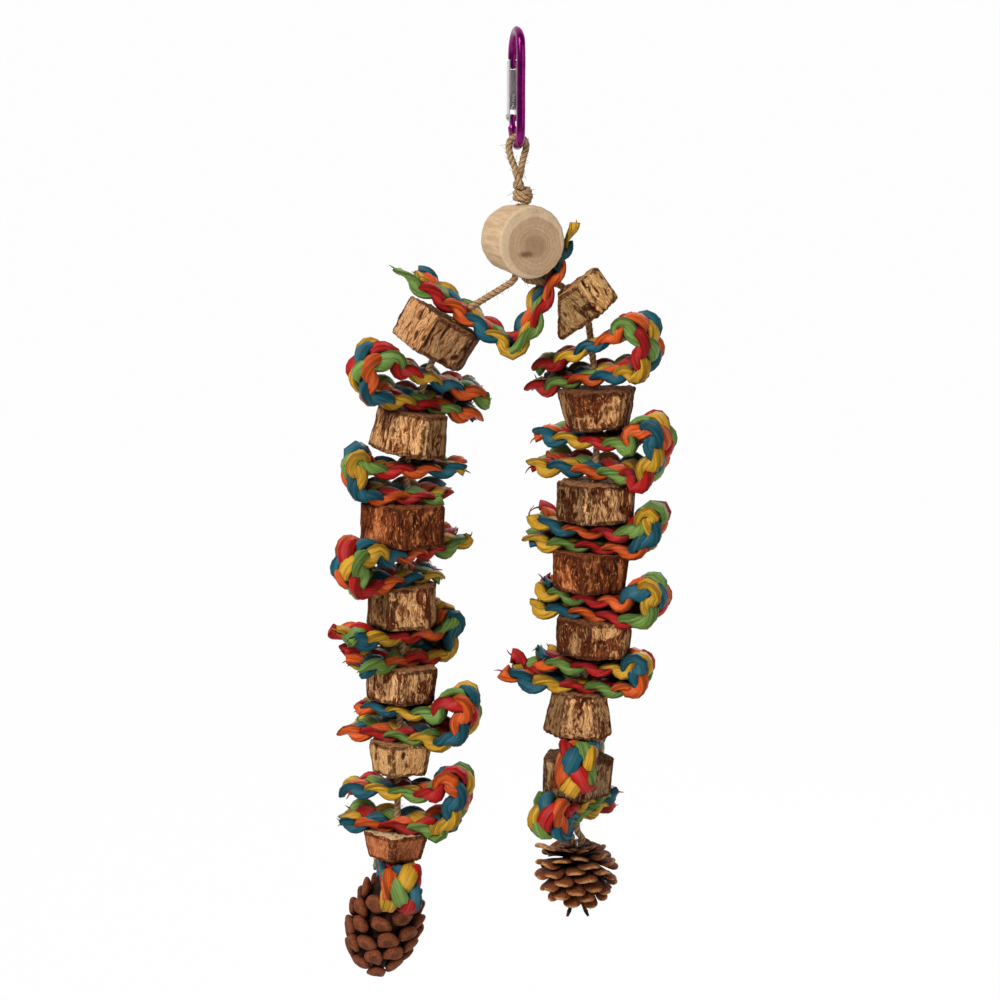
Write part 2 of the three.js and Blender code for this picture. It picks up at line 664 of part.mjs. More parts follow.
// The core runs through the roots of the scales and leaves room on top for the eye and the cord's loop.
function pineCone(cone) {
  const steps = 6;
  const roots = Array.from({ length: steps + 1 }, (_, k) => scalePlace(cone, k / steps).root);
  const core = roots.map((root) => [Math.max(root.x + CORE_COVER, CORE_LEAST), root.z]);
  const profile = [[0, core[0][1]], ...core, [0, core.at(-1)[1] - CORE_LEAST]];
  let body = solid(revolve(profile.reverse(), 10));
  for (let i = 0; i < cone.scales; i++) {
    body = body.add(coneScale(cone, i));
  }
  const room = END_LOOP + CORD;
  const clear = solid(cylinder(room, cone.high, 10)).translate([0, 0, cone.high / 2 - Math.max(0, cone.sink)]);
  const pilot = bore(EYE_WIRE / 2 + TOUCH, 2 * (EYE_SHANK + TOUCH + Math.abs(cone.sink)));
  return body.subtract(clear).subtract(pilot);
}

const eyeFoot = -2 * EYE_RADIUS - EYE_WIRE / 2; // underside of the eye's ring

// A wire ring on a shank, with the middle of the wire at the ring's top at z = 0
function screwEye() {
  const ring = new THREE.TorusGeometry(EYE_RADIUS, EYE_WIRE / 2, 6, 16).rotateY(Math.PI / 2);
  const shank = cylinder(EYE_WIRE / 2, EYE_SHANK + EYE_WIRE, 8);
  return solid(ring.translate(0, 0, -EYE_RADIUS))
    .add(solid(shank.translate(0, 0, eyeFoot - EYE_SHANK / 2 + EYE_WIRE / 2)));
}

// Assembly

const toy = new THREE.Group();

const clip = new THREE.Group();
clip.rotation.set(0, radians(CLIP_LEAN), radians(CLIP_YAW), 'YZX');
clip.add(
  piece('clip_body', clipBody(), purple),
  piece('clip_gate', clipGate(), steel),
  piece('gate_rivet', rivet(), steel),
  piece('gate_spring', gateSpring(), steel),
);
toy.add(clip, piece('hanging_loop', hangingLoop(), jute), piece('loop_knot', knot(), jute));

const log = new THREE.Group();
log.position.set(KNOT_X, 0, logMiddle);
log.rotation.z = radians(LOG_YAW);
log.add(piece('log_slice', logSlice(), peeledWood));
toy.add(log);

// One diagonal strand: down through the log, across to the first block and through most of it
function diagonalPath(leg) {
  const sign = Math.sign(leg.run);
  const block = leg.blocks[0];
  const x = KNOT_X + (sign * STRAND_SPREAD) / 2;
  const top = vec(KNOT_X + leg.run, 0, logBottom - leg.drop);
  const end = down(top, block.lean, block.high - CORD / 2 - PIVOT_GAP);
  const exit = vec(x, 0, logBottom - CORD / 2);
  const entry = down(top, block.lean, -CORD_BEND);
  return cordPath([vec(x, 0, logTop - TOUCH), exit, entry, end]);
}

function widened(path) {
  return solid(tube(path, (CORD + 2 * RUNNING + SEAT) / Math.cos(Math.PI / 8), CORD));
}

for (const leg of [LEFT, RIGHT]) {
  toy.add(piece(`${leg.name}_diagonal`, solid(tube(diagonalPath(leg), CORD, 1.6 * CORD)), jute));
}
const leftTop = vec(KNOT_X + LEFT.run, 0, logBottom - LEFT.drop);
const rightTop = vec(KNOT_X + RIGHT.run, 0, logBottom - RIGHT.drop);
const swagLeft = down(leftTop, LEFT.blocks[0].lean, -SWAG_LIFT - STRIP_THICKNESS / 2);
const swagRight = rightTop.clone().add(vec(-SWAG_LIFT - STRIP_THICKNESS, 0, CORD / 2));
const swagBody = swag(swagLeft, swagRight)
  .subtract(widened(diagonalPath(LEFT)))
  .subtract(widened(diagonalPath(RIGHT)));
toy.add(piece('swag_braid', swagBody, palmLeaf));

// A leg: the first block on the diagonal, then braid and block by turns, then the cone
function stringLeg(leg) {
  let at = vec(KNOT_X + leg.run, 0, logBottom - leg.drop);
  const pivots = [];
  const corners = [];
  leg.blocks.forEach((block, i) => {
    const middle = seat(down(at, block.lean, block.high / 2), block.lean);
    middle.add(piece(`${leg.name}_block_${i + 1}`, woodBlock(block), palmWood));
    toy.add(middle);
    at = down(at, block.lean, block.high);
    if (leg.bends.includes(i)) pivots.push(at);
    if (i === 0) corners.push(at);
    if (i === 1) corners.push(down(at, block.lean, -block.high), at);
    const braid = leg.braids[i];
    const lean = i === 0 ? leg.neckLean : leg.plumb;
    const rise = SEAT + (braid.lift ?? 0) + halfLayer(braid) + braid.open;
    const place = seat(down(at, lean, gap(braid) - rise), lean);
    const folded = piece(`${leg.name}_braid_${i + 1}`, foldedBraid(braid), palmLeaf);
    folded.rotation.z = radians(braid.yaw);
    place.add(folded);
    toy.add(place);
    at = down(at, lean, gap(braid));
  });
  const end = down(at, 0, CORD / 2);
  legCords(leg, pivots, corners, end);
  endPieces(leg, end);
}

// Three lengths of cord that bend at the pivots. Each starts in a ball on its pivot.
function legCords(leg, pivots, [top, bend, foot], end) {
  const stop = CORD / 2 + PIVOT_GAP;
  const upperEnd = down(foot, leg.blocks[1].lean, -stop);
  const upper = solid(tube(cordPath([top, bend, upperEnd]), CORD, 2 * CORD)).add(ball(CORD / 2, top));
  toy.add(piece(`${leg.name}_cord_1`, upper, jute));
  const middle = straightCord(pivots[1], down(pivots[2], leg.plumb, -stop)).add(ball(CORD / 2, pivots[1]));
  toy.add(piece(`${leg.name}_cord_2`, middle, jute));
  const loopAt = down(end, 0, END_LOOP);
  const loop = new THREE.TorusGeometry(END_LOOP, CORD / 2, 8, 14).rotateX(Math.PI / 2);
  const lower = straightCord(pivots[2], end)
    .add(ball(CORD / 2, pivots[2]))
    .add(solid(loop.translate(loopAt.x, loopAt.y, loopAt.z)));
  toy.add(piece(`${leg.name}_cord_3`, lower, jute));
}

// The screw eye hangs in the end loop, and the cone hangs from the screw eye.
function endPieces(leg, end) {
  const wire = CORD / 2 + TOUCH + EYE_WIRE / 2; // from the loop's lowest strand up to the eye's wire
  const hang = new THREE.Group();
  hang.position.copy(down(end, 0, 2 * END_LOOP - wire));
  hang.rotation.y = radians(leg.cone.tilt);
  hang.add(piece(`${leg.name}_screw_eye`, screwEye(), steel));
  const cone = piece(`${leg.name}_cone`, pineCone(leg.cone), coneBrown);
  cone.position.z = eyeFoot - TOUCH + leg.cone.sink;
  hang.add(cone);
  toy.add(hang);
}

stringLeg(LEFT);
stringLeg(RIGHT);

export default toy;
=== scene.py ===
import json
import math
import random

import bpy
import numpy as np
from mathutils import Matrix, Vector, noise


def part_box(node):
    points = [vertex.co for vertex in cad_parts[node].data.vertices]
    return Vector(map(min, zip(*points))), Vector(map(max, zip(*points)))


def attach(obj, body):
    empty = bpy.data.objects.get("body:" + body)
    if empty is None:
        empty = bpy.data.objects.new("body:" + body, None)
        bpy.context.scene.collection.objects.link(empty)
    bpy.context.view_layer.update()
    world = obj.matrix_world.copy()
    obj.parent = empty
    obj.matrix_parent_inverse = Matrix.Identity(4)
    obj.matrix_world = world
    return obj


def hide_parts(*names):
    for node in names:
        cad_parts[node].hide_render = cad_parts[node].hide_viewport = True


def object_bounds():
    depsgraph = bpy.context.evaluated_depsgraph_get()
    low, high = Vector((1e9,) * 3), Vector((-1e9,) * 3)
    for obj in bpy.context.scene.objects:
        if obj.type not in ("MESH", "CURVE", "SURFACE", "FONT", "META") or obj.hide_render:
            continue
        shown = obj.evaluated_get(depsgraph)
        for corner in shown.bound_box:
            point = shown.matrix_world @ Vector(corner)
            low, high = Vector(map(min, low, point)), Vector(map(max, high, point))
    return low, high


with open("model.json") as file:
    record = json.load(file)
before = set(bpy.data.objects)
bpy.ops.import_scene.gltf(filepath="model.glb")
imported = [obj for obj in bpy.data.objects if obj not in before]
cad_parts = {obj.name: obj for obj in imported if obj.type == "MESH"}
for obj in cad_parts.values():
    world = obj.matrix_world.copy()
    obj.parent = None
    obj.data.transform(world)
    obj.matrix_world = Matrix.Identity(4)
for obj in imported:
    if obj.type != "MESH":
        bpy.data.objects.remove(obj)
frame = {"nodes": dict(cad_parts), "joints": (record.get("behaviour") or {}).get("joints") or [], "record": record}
cad_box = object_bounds()

MM = 0.001
LEGS = ("left", "right")

# Camera: a long lens a little above the toy, rolled as the photograph is
CAMERA_DISTANCE = 1.5
CAMERA_PITCH = 10
CAMERA_ROLL = 2
FIELD = 0.5  # width of the view at the toy
SENSOR = 36
TARGET = Vector((-0.86, 0, -229.97)) * MM

# Stage
FLOOR_DROP = 0.35  # from the lowest piece down to the floor
FLOOR_SIZE = 600  # so that its far edge is out of the picture
FLOOR_GLOW = 0.985  # share of white that the camera sees on the floor, beside the lit floor
WORLD_LIGHT = 0.14  # strength of the world's light on the toy
MIRRORED_FROM = -0.1  # along Y, where reflections start to show the pale background
MIRRORED_FULL = 0.2  # and where they show it in full
LAMPS = {  # the place, size and power of each
    "key": ((-1.1, -1.2, 0.95), 0.8, 33),
    "fill": ((1.3, -1.2, 0.1), 1.2, 6),
    "back": ((0.5, 1.6, 0.4), 1.2, 14),
}

# Sizes repeated from the solids, in millimetres and degrees
CLIP_ROD = 4.4
CLIP_LENGTH = 60
CLIP_WIDTH = 29
CLIP_APEX = 3.2
NOSE_DROP = 17
TONGUE = 2.6
TONGUE_LENGTH = 5
FOOT_RISE = 11
SPRING_WIRE = 0.45
SPRING_RADIUS = 1.05
SPRING_PITCH = 1.2
SPRING_TURNS = 6
CORD = 3.2
RUNNING = 0.4
TOUCH = 0.3
STRAND_SPREAD = 3.8
CORD_BEND = 3.5
LOOP_SHIFT = -2
END_LOOP = 2.7
EYE_RADIUS = 2.8
EYE_WIRE = 1.2
EYE_SHANK = 9
STRIP_WIDTH = 20
STRIP_THICKNESS = 4.6
FOLD_EDGE = 18
BLOCK_CLEAR = 21.5
SEAT = 0.5
SWAG_LIFT = 4.8
SWAG_ROLL = 26
SWAG_LEFT = [(-27, -2, 18), (-13, -1, 9), (0, 0, 0), (13, -2, -9), (25, -4, -16)]
SWAG_RIGHT = [(-14.5, -5, -29), (-8.5, -4, -22), (-4.2, -2, -11), (0, 0, 0), (5.8, 8, 16), (10.4, 12, 34.5)]
LOG_YAW = 24
GOLDEN_ANGLE = 137.508

# Clip
CLIP_STEP = 0.5  # along the rod, between the rings of its mesh
GATE_EDGE = 0.18  # width of the rounded edges of gate and rivet

# Cord: three strands laid round each other, with stray fibres
ROPE_STEP = 0.5
ROPE_POINTS = 24
ROPE_PITCH = 8  # along the cord, for one turn of its strands
ROPE_STRANDS = 3
LOBE = 0.24  # how far the strands stand out
FULLNESS = 1.1  # of the laid cord's widest places, against its diameter
KNOT_FULL = 0.7  # how much wider and lower the soft knot is than its solid
KNOT_TURNS = 2.3
LOOP_TWIST = 1.1  # turns of the hanging loop's two strands round each other
LOOP_PARTS = 0.46  # share of its height where the strands part
END_GAP = 2  # between the end of a length of cord and the pivot under it
RING_LEAD = 2  # straight run above the loop at a leg's end
FIBRE_STEP = 1.6  # along the cord, from one stray fibre to the next
FIBRE = 0.2  # thickness of a stray fibre

# Plaits: five flat strands that cross from edge to edge, over and under by turns
STRANDS = 5
PLAIT_PERIOD = 68  # along the braid, until a strand is back at the same edge
STRAND_WIDTH = 8.8
STRAND_THICKNESS = 4.1
STRAND_SWING = 7.1  # of a strand's middle to either side
STRAND_LIFT = 1.7  # of a strand's middle over and under the others
PRESSED = 0.84  # share of the thickness that is left between two blocks
FULL_FOLD = 1.2  # and how much fuller the fold and the ends are
CROWN = 2.2  # how far the middle of the band bulges there
LOWER_ROLL = 13  # degrees that the lower layer's front edge drops below its back edge
LOWER_RISE = 1.1  # of the lower layer, so that its edge stays off the block under it
PLEATS = 4
FRAY_LENGTH = 4
RING_STEP = 1.7  # along a strand, between the rings of its mesh
RING_POINTS = 18
LEAD_RINGS = 6  # by which a lead strand reaches farther than the others
END_TAPER = 14  # length over which a plait thins toward its ends
ROLL_RINGS = 16  # over which the lower layer takes its roll

# Braids of each leg, from the top. A braid has half the height between its layers at the cord, its
# reach on the fold side, the lengths of its two ends, the yaw of the fold and the bends of its layers.
# Its edge names the strands' colours along the front of the lower layer, from left to right, and the
# place of the first of them from the cord.
BRAIDS = {
    "left": [
        dict(open=6.6, reach=40, upper=37, lower=36, yaw=-145, wedge=4, rise=4, roll=-6,
             edge="RGOTY", first=4),
        dict(open=6.8, reach=30, upper=28, lower=22, yaw=-165, bulge=2, rise=9, roll=-6,
             edge="TORGY", first=-20),
        dict(open=6.4, reach=40, upper=37, lower=22, yaw=-135, bulge=3, rise=2, perk=(5, 0), roll=-5,
             edge="GROTY", first=-22),
        dict(open=6.6, reach=29, upper=39, lower=32, yaw=38, bulge=2, rise=11, perk=(2, 0), roll=6,
             edge="TGORY", first=-26),
        dict(open=6.8, reach=40, upper=21, lower=29, yaw=-22, bulge=3, rise=12, perk=(-4, -2), roll=6,
             edge="ORGYT", first=-24),
        dict(open=9.4, reach=36, upper=28, lower=32, yaw=-16, bulge=3, rise=16, perk=(-7, -2), roll=8,
             edge="TORGY", first=-26),
        dict(open=2.5, reach=29, upper=22, lower=22, yaw=-80, bulge=5, sag=7, edge="OGTRY", first=-4),
    ],
    "right": [
        dict(open=7.2, reach=36, upper=34, lower=37, yaw=-32, wedge=6, tilt=11, rise=6, roll=6,
             edge="RGOTY", first=-30),
        dict(open=7.6, reach=38, upper=31, lower=34, yaw=-28, bulge=5, rise=14, roll=8,
             edge="YTOGR", first=-28),
        dict(open=4, reach=35, upper=30, lower=32, yaw=-16, bulge=2, rise=14, perk=(7, 2), roll=5,
             edge="YGROT", first=-26),
        dict(open=3.8, reach=39, upper=27, lower=29, yaw=-24, bulge=4, rise=10, perk=(5, 2), roll=4,
             edge="YTORG", first=-26),
        dict(open=5.2, reach=31, upper=25, lower=40, yaw=-10, bulge=2, rise=6, perk=(4, 6), roll=6,
             edge="TYRGO", first=-30),
        dict(open=2.5, reach=31, upper=10, lower=6, yaw=84, bulge=3, hang=True, edge="GROTY", first=0),
        dict(open=2.5, reach=30, upper=27, lower=24, yaw=-125, bulge=4, sag=2, edge="OTGYR", first=-10),
    ],
}
SWAG_EDGE = "GROTY"
SWAG_FIRST = 11  # along the swag, to the first strand's bump
SWAG_LONGER = 5  # how far the swag's plait goes past the left end of its solid
SWAG_SHORTER = 4  # and stops short of the right end
BESIDE_LOG = 0.7  # share of the swag's thickness that is left beside the log
THINS_OVER = (0.55, 0.75)  # shares of the swag's length between which it thins to that

# Cones: as the solids' scales, with more and finer ones. Lean is a scale's angle from straight down, at the
# top and at the tip.
CONES = {
    "left": dict(high=47, radius=19, scales=46, lean=(80, 48), plate=11, width=10.8, plump=9.8, tilt=14,
                 sink=1, taper=0.6, reach=0.93, core=4, open=False),
    "right": dict(high=41, radius=21, scales=54, lean=(100, 23), plate=15, width=11.4, plump=1.8, tilt=-2,
                  sink=0, taper=0.6, reach=0.74, core=1.2, open=True),
}
# Tones of a scale's root, body, end and boss; the dark root tone is partly the scale's own colour and partly
# painted shade deep between the scales
CONE_TONES = {
    "left": ((38, 17, 9), (128, 64, 34), (146, 84, 50), (92, 44, 23)),
    "right": ((36, 14, 7), (138, 72, 33), (220, 162, 100), (220, 162, 100)),
}
TOP_SCALES = 14  # small ones on top of an open cone
LARGE_SCALE = 1.5  # size of the one large scale among them
LARGE_YAW = 205  # degrees that it is turned round the cone
TAILS = ((0.5, -0.35, -1), (-0.4, -0.4, -1))  # directions of the thin scales at an open cone's tip
EYE_STEP = 0.35  # along a screw eye's wire, between the rings of its mesh
SCALE_POINTS = 18  # round a scale
SCALE_STEPS = np.array((0, 0.2, 0.4, 0.52, 0.64, 0.74, 0.83, 0.9, 0.95, 0.985, 1))  # rings along a scale

# Wood of the blocks from the top of each leg
BLOCK_WOODS = {
    "left": ("dusty", "flecked", "ruddy", "flecked", "mottled", "sandy", "barked"),
    "right": ("corky", "striped", "mottled", "ruddy", "striped", "flecked", "greyed"),
}
# The angle round the cord that each block's side with painted light faces; the sides turned away from it get
# painted shade
BLOCK_PAINTED_LIGHT = {
    "left": (216, 250, 250, 285, 262, 265, 250),
    "right": (327, 270, 305, 240, 290, 300, 270),
}
# Flats planed on a block's side: the angle they face round the cord, and their distance from it
BLOCK_FLATS = {"left_block_1": [(216, 16.5)], "right_block_1": [(238, 15.5), (322, 15)]}
# Woods of the blocks: tones of the pale wood, its fibres and its ends, and the shares of the sides that dark
# streaks and red-brown flecks take
PALM_WOODS = {
    "striped": ((204, 152, 100), (100, 46, 20), (128, 80, 48), 0.7, 0.45),
    "flecked": ((208, 158, 106), (112, 60, 28), (146, 96, 60), 0.36, 0.76),
    "corky": ((232, 182, 118), (196, 140, 86), (182, 130, 82), 0.02, 0.75),
    "sandy": ((206, 160, 106), (178, 126, 78), (170, 122, 78), 0.02, 0.75),
    "dusty": ((192, 144, 98), (136, 84, 46), (156, 106, 66), 0.02, 0.7),
    "ruddy": ((190, 117, 68), (118, 56, 30), (134, 76, 42), 0.9, 0.2),
    "mottled": ((214, 164, 112), (104, 54, 26), (160, 112, 72), 0.58, 0.6),
    "greyed": ((164, 128, 90), (54, 35, 23), (104, 76, 50), 0.3, 0.3),
    "barked": ((186, 112, 70), (150, 84, 52), (222, 186, 140), 0.1, 0.25),
}
# Noises in the blocks' wood: the scale along each axis, detail, roughness and distortion
PALM_GRAINS = {
    "patch": ((95, 95, 42), 3, 0.6, 0.5),
    "fibres": ((420, 420, 85), 4, 0.65, 0.9),
    "thin": ((1300, 1300, 210), 2, 0.6, 0.6),
    "flecks": ((300, 300, 130), 4, 0.7, 0.8),
    "pits": ((520, 520, 420), 3, 0.65, 0),
    "grit": ((1500, 1500, 800), 2, 0.7, 0),
}
PITTED_WOODS = ("corky", "sandy", "dusty")
BLOCK_VOXEL = 0.65
LOG_VOXEL = 0.7
LOG_PITH = (-1.5, 0, 2)  # from the middle of the log's rings to the log's own middle


def colour(red, green, blue):
    """Linear colour of an sRGB one, given from 0 to 255."""
    def linear(part):
        part /= 255
        return part / 12.92 if part <= 0.04045 else ((part + 0.055) / 1.055) ** 2.4
    return (linear(red), linear(green), linear(blue), 1)


LEAF_COLOURS = {
    "R": colour(196, 20, 14),
    "O": colour(236, 96, 22),
    "Y": colour(222, 166, 34),
    "G": colour(122, 158, 68),
    "T": colour(20, 96, 112),
}


# Places in the frame

def turn(degrees, axis):
    return Matrix.Rotation(math.radians(degrees), 4, axis)


def spin(degrees, axis="Z"):
    return np.array(turn(degrees, axis).to_3x3())


def joint(name):
    row = next(row for row in frame["joints"] if row["name"] == name)
    return Vector(row["pos_m"]), Vector(row["axis"])


def seat(node):
    """Place of a piece that turns on the cord: its own Z is along the cord."""
    at, axis = joint(node + "_turn")
    lean = math.degrees(math.atan2(axis.x, axis.z))
    return Matrix.Translation(at) @ turn(lean, "Y")


def body_of(node):
    return next(body for body, nodes in frame["record"]["behaviour"]["bodies"].items() if node in nodes)


# Curves, as arrays of points

def resample(points, step):
    lengths = np.concatenate([[0], np.cumsum(np.linalg.norm(np.diff(points, axis=0), axis=1))])
    count = max(2, int(round(lengths[-1] / step)) + 1)
    at = np.linspace(0, lengths[-1], count)
    return np.stack([np.interp(at, lengths, points[:, k]) for k in range(3)], axis=1)


def smooth_path(points, step):
    """Centripetal Catmull-Rom curve through the points, in even steps."""
    points = np.array(points, float)
    padded = np.vstack([2 * points[0] - points[1], points, 2 * points[-1] - points[-2]])
    t = np.linspace(0, 1, 24, endpoint=False)[:, None]
    dense = []
    for i in range(len(points) - 1):
        a, b, c, d = padded[i:i + 4]
        ab, bc, cd = (max(np.linalg.norm(q - p), 1e-9) ** 0.5 for p, q in ((a, b), (b, c), (c, d)))
        start = ((b - a) / ab - (c - a) / (ab + bc) + (c - b) / bc) * bc
        stop = ((c - b) / bc - (d - b) / (bc + cd) + (d - c) / cd) * bc
        dense.append(
            (2 * t**3 - 3 * t**2 + 1) * b + (t**3 - 2 * t**2 + t) * start
            + (3 * t**2 - 2 * t**3) * c + (t**3 - t**2) * stop
        )
    dense.append(points[-1:])
    return resample(np.vstack(dense), step)


def bent_path(points, bend, step):
    """Straight runs joined by short bends."""
    points = [np.array(p, float) for p in points]
    def toward(a, b):
        return a + (b - a) * min(0.45, bend / np.linalg.norm(b - a))
    dense = [points[0]]
    for before, at, after in zip(points, points[1:], points[2:]):
        low, high = toward(at, before), toward(at, after)
        for t in np.linspace(0, 1, 9):
            dense.append((1 - t) ** 2 * low + 2 * t * (1 - t) * at + t**2 * high)
    dense.append(points[-1])
    return resample(np.array(dense), step)


def unit(vectors):
    return vectors / np.linalg.norm(vectors, axis=-1, keepdims=True)


def tangents(points):
    return unit(np.gradient(points, axis=0))


def square_to(vectors, along):
    """Takes away what runs along a curve and gives unit vectors."""
    return unit(vectors - np.sum(vectors * along, axis=1, keepdims=True) * along)


def carried_sides(points):
    """Side directions that turn with the curve and never twist round it."""
    along = tangents(points)
    start = np.eye(3)[np.argmin(np.abs(along[0]))]
    sides = [unit(start - along[0] * np.dot(start, along[0]))]
    for direction in along[1:]:
        sides.append(unit(sides[-1] - direction * np.dot(sides[-1], direction)))
    return np.array(sides)


def blunted(wave, power):
    """A wave with fuller crests, or with sharper ones where the power is over 1."""
    return np.sign(wave) * np.abs(wave) ** power


def eased(share):
    """A share from 0 to 1 that starts and ends softly."""
    return share * share * (3 - 2 * share)


# Meshes

def new_object(name, data, place=None):
    obj = bpy.data.objects.new(name, data)
    obj.matrix_world = place or Matrix.Identity(4)
    bpy.context.scene.collection.objects.link(obj)
    return obj


class Skin:
    """Collects closed tubes, given as rings of points, into one mesh with UVs."""

    def __init__(self):
        self.points = []
        self.faces = []
        self.slots = []
        self.uvs = []

    def tube(self, rings, slot=0, along=None, twist=None):
        count, size = rings.shape[:2]
        base = len(self.points)
        along = np.linspace(0, 1, count) if along is None else along
        twist = np.zeros(count) if twist is None else twist
        self.points.extend(rings.reshape(-1, 3).tolist())
        for i in range(count - 1):
            for j in range(size):
                k = (j + 1) % size
                self.faces.append((base + i * size + j, base + i * size + k,
                                   base + (i + 1) * size + k, base + (i + 1) * size + j))
                low, high = j / size, (j + 1) / size
                self.uvs += [(along[i], low + twist[i]), (along[i], high + twist[i]),
                             (along[i + 1], high + twist[i + 1]), (along[i + 1], low + twist[i + 1])]
                self.slots.append(slot)
        for i, order in ((0, range(size - 1, -1, -1)), (count - 1, range(size))):
            self.faces.append(tuple(base + i * size + j for j in order))
            self.uvs += [(along[i], j / size + twist[i]) for j in order]
            self.slots.append(slot)

    def piece(self, name, materials, place=None):
        mesh = bpy.data.meshes.new(name)
        mesh.from_pydata(self.points, [], self.faces)
        mesh.transform(Matrix.Scale(MM, 4))
        mesh.polygons.foreach_set("material_index", self.slots)
        mesh.polygons.foreach_set("use_smooth", [True] * len(self.faces))
        layer = mesh.uv_layers.new(name="grain")
        layer.data.foreach_set("uv", np.array(self.uvs).ravel())
        for material in materials:
            mesh.materials.append(material)
        return new_object(name, mesh, place)


def dress(obj, node):
    """Puts a piece in the place of a CAD node, on its body."""
    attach(obj, body_of(node))
    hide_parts(node)
    return obj


def ring_directions(points, size):
    """Angles round a curve, and the directions from each of its points at those angles."""
    sides = carried_sides(points)
    ups = np.cross(tangents(points), sides)
    angles = np.linspace(0, 2 * math.pi, size, endpoint=False)
    ring = np.cos(angles)[None, :, None] * sides[:, None] + np.sin(angles)[None, :, None] * ups[:, None]
    return angles, ring


def round_rings(points, radius, size):
    """Rings of a plain round rod. The radius may be one number or one for each point."""
    _, ring = ring_directions(points, size)
    radius = np.broadcast_to(radius, len(points))[:, None, None]
    return points[:, None] + radius * ring


def rounded_ends(count, step, radius):
    """Share of the radius along a rod whose ends are domed."""
    at = np.arange(count) * step
    reach = np.minimum(at, at[::-1]) / radius
    return np.sqrt(np.clip(1 - (1 - np.minimum(reach, 1)) ** 2, 0.02, 1))


# Materials

class Nodes:
    """Short way to write the nodes of a material or of the world."""

    def __init__(self, owner):
        owner.use_nodes = True
        self.owner = owner
        self.tree = owner.node_tree

    def feed(self, socket, value):
        if isinstance(value, bpy.types.NodeSocket):
            self.tree.links.new(value, socket)
        else:
            socket.default_value = value

    def fill(self, node, inputs):
        for name, value in inputs.items():
            self.feed(node.inputs[name.replace("_", " ")], value)
        return node

    def add(self, kind, **inputs):
        return self.fill(self.tree.nodes.new("ShaderNode" + kind), inputs)

    def finish(self, **inputs):
        self.fill(self.tree.nodes["Principled BSDF"], inputs)
        return self.owner

    def grain(self):
        return self.add("UVMap").outputs["UV"]

    def object_place(self):
        return self.add("TexCoord").outputs["Object"]

    def point(self, name, output="Fac"):
        """What the mesh keeps with each of its points under a name."""
        node = self.add("Attribute")
        node.attribute_name = name
        return node.outputs[output]

    def part(self, vector, axis):
        return self.add("SeparateXYZ", Vector=vector).outputs[axis]

    def facing(self, axis):
        """How nearly the surface faces along an axis of its piece, either way."""
        return self.math("ABSOLUTE", self.part(self.add("TexCoord").outputs["Normal"], axis))

    def length(self, vector):
        node = self.add("VectorMath", Vector=vector)
        node.operation = "LENGTH"
        return node.outputs["Value"]

    def wavy(self, vector, scale, reach):
        """The same places, pushed about by soft noise."""
        push = self.add("TexNoise", Vector=vector, Scale=scale, Detail=1.0)
        node = self.add("VectorMath")
        node.operation = "MULTIPLY_ADD"
        for socket, value in zip(node.inputs, (push.outputs["Color"], (reach, reach, reach), vector)):
            self.feed(socket, value)
        return node.outputs[0]

    def noise(self, vector, scale=1, detail=3, rough=0.55, warp=0):
        node = self.add("TexNoise", Vector=vector, Scale=scale, Detail=detail, Roughness=rough,
                        Distortion=warp)
        return node.outputs[0]

    def streaks(self, vector, scale, detail=3, rough=0.55, warp=0):
        """Noise with its own scale along each axis."""
        stretched = self.add("Mapping", Vector=vector, Scale=scale).outputs["Vector"]
        return self.noise(stretched, 1, detail, rough, warp)

    def ramp(self, value, low, high, start=0, stop=1):
        node = self.add("MapRange", Value=value, From_Min=low, From_Max=high, To_Min=start, To_Max=stop)
        node.interpolation_type = "SMOOTHSTEP"
        return node.outputs["Result"]

    def math(self, operation, a, b=0.0):
        node = self.add("Math")
        node.operation = operation
        self.feed(node.inputs[0], a)
        self.feed(node.inputs[1], b)
        return node.outputs[0]

    def mix(self, share, first, second, blend="MIX"):
        node = self.add("Mix")
        node.data_type = "RGBA"
        node.blend_type = blend
        self.feed(node.inputs[0], share)
        self.feed(node.inputs[6], first)
        self.feed(node.inputs[7], second)
        return node.outputs[2]

    def tint(self, body, tone, value, low, high, share=1):
        """Mixes in a tone as a value goes from low to high, up to a share of it."""
        return self.mix(self.ramp(value, low, high, 0, share), body, tone)

    def tints(self, body, *layers):
        """Mixes in one tone after another, each given as for tint."""
        for layer in layers:
            body = self.tint(body, *layer)
        return body

    def paint_nook_shade(self, body, reach, dark):
        """Paints shade into a colour in nooks, where much of the space within reach is taken."""
        node = self.add("AmbientOcclusion", Distance=reach * MM)
        node.samples = 4
        return self.mix(1.0, body, self.ramp(node.outputs["AO"], 0.2, 0.85, dark, 1), "MULTIPLY")

    def bump(self, height, depth, strength=1, under=None):
        node = self.add("Bump", Height=height, Distance=depth * MM, Strength=strength)
        if under is not None:
            self.feed(node.inputs["Normal"], under)
        return node.outputs["Normal"]


def material_nodes(name):
    return Nodes(bpy.data.materials.new(name))


def shade(tone, factor):
    return (tone[0] * factor, tone[1] * factor, tone[2] * factor, 1)


def anodised():
    nodes = material_nodes("purple_anodised")
    at = nodes.object_place()
    cloud = nodes.noise(at, 180, 2)
    fine = nodes.streaks(at, (2500, 2500, 260))
    tone = nodes.tint(colour(120, 14, 94), colour(144, 28, 118), cloud, 0.35, 0.65)
    rough = nodes.ramp(fine, 0.3, 0.7, 0.2, 0.3)
    relief = nodes.bump(fine, 0.02, 0.4)
    return nodes.finish(Base_Color=tone, Metallic=0.92, Roughness=rough, Normal=relief)


def bright_steel():
    nodes = material_nodes("bright_steel")
    at = nodes.object_place()
    cloud = nodes.noise(at, 220)
    brushed = nodes.streaks(at, (3000, 3000, 300))
    tone = nodes.mix(cloud, colour(206, 204, 202), colour(232, 230, 228))
    rough = nodes.ramp(brushed, 0.3, 0.7, 0.32, 0.5)
    relief = nodes.bump(brushed, 0.02, 0.4)
    return nodes.finish(Base_Color=tone, Metallic=1, Roughness=rough, Normal=relief)


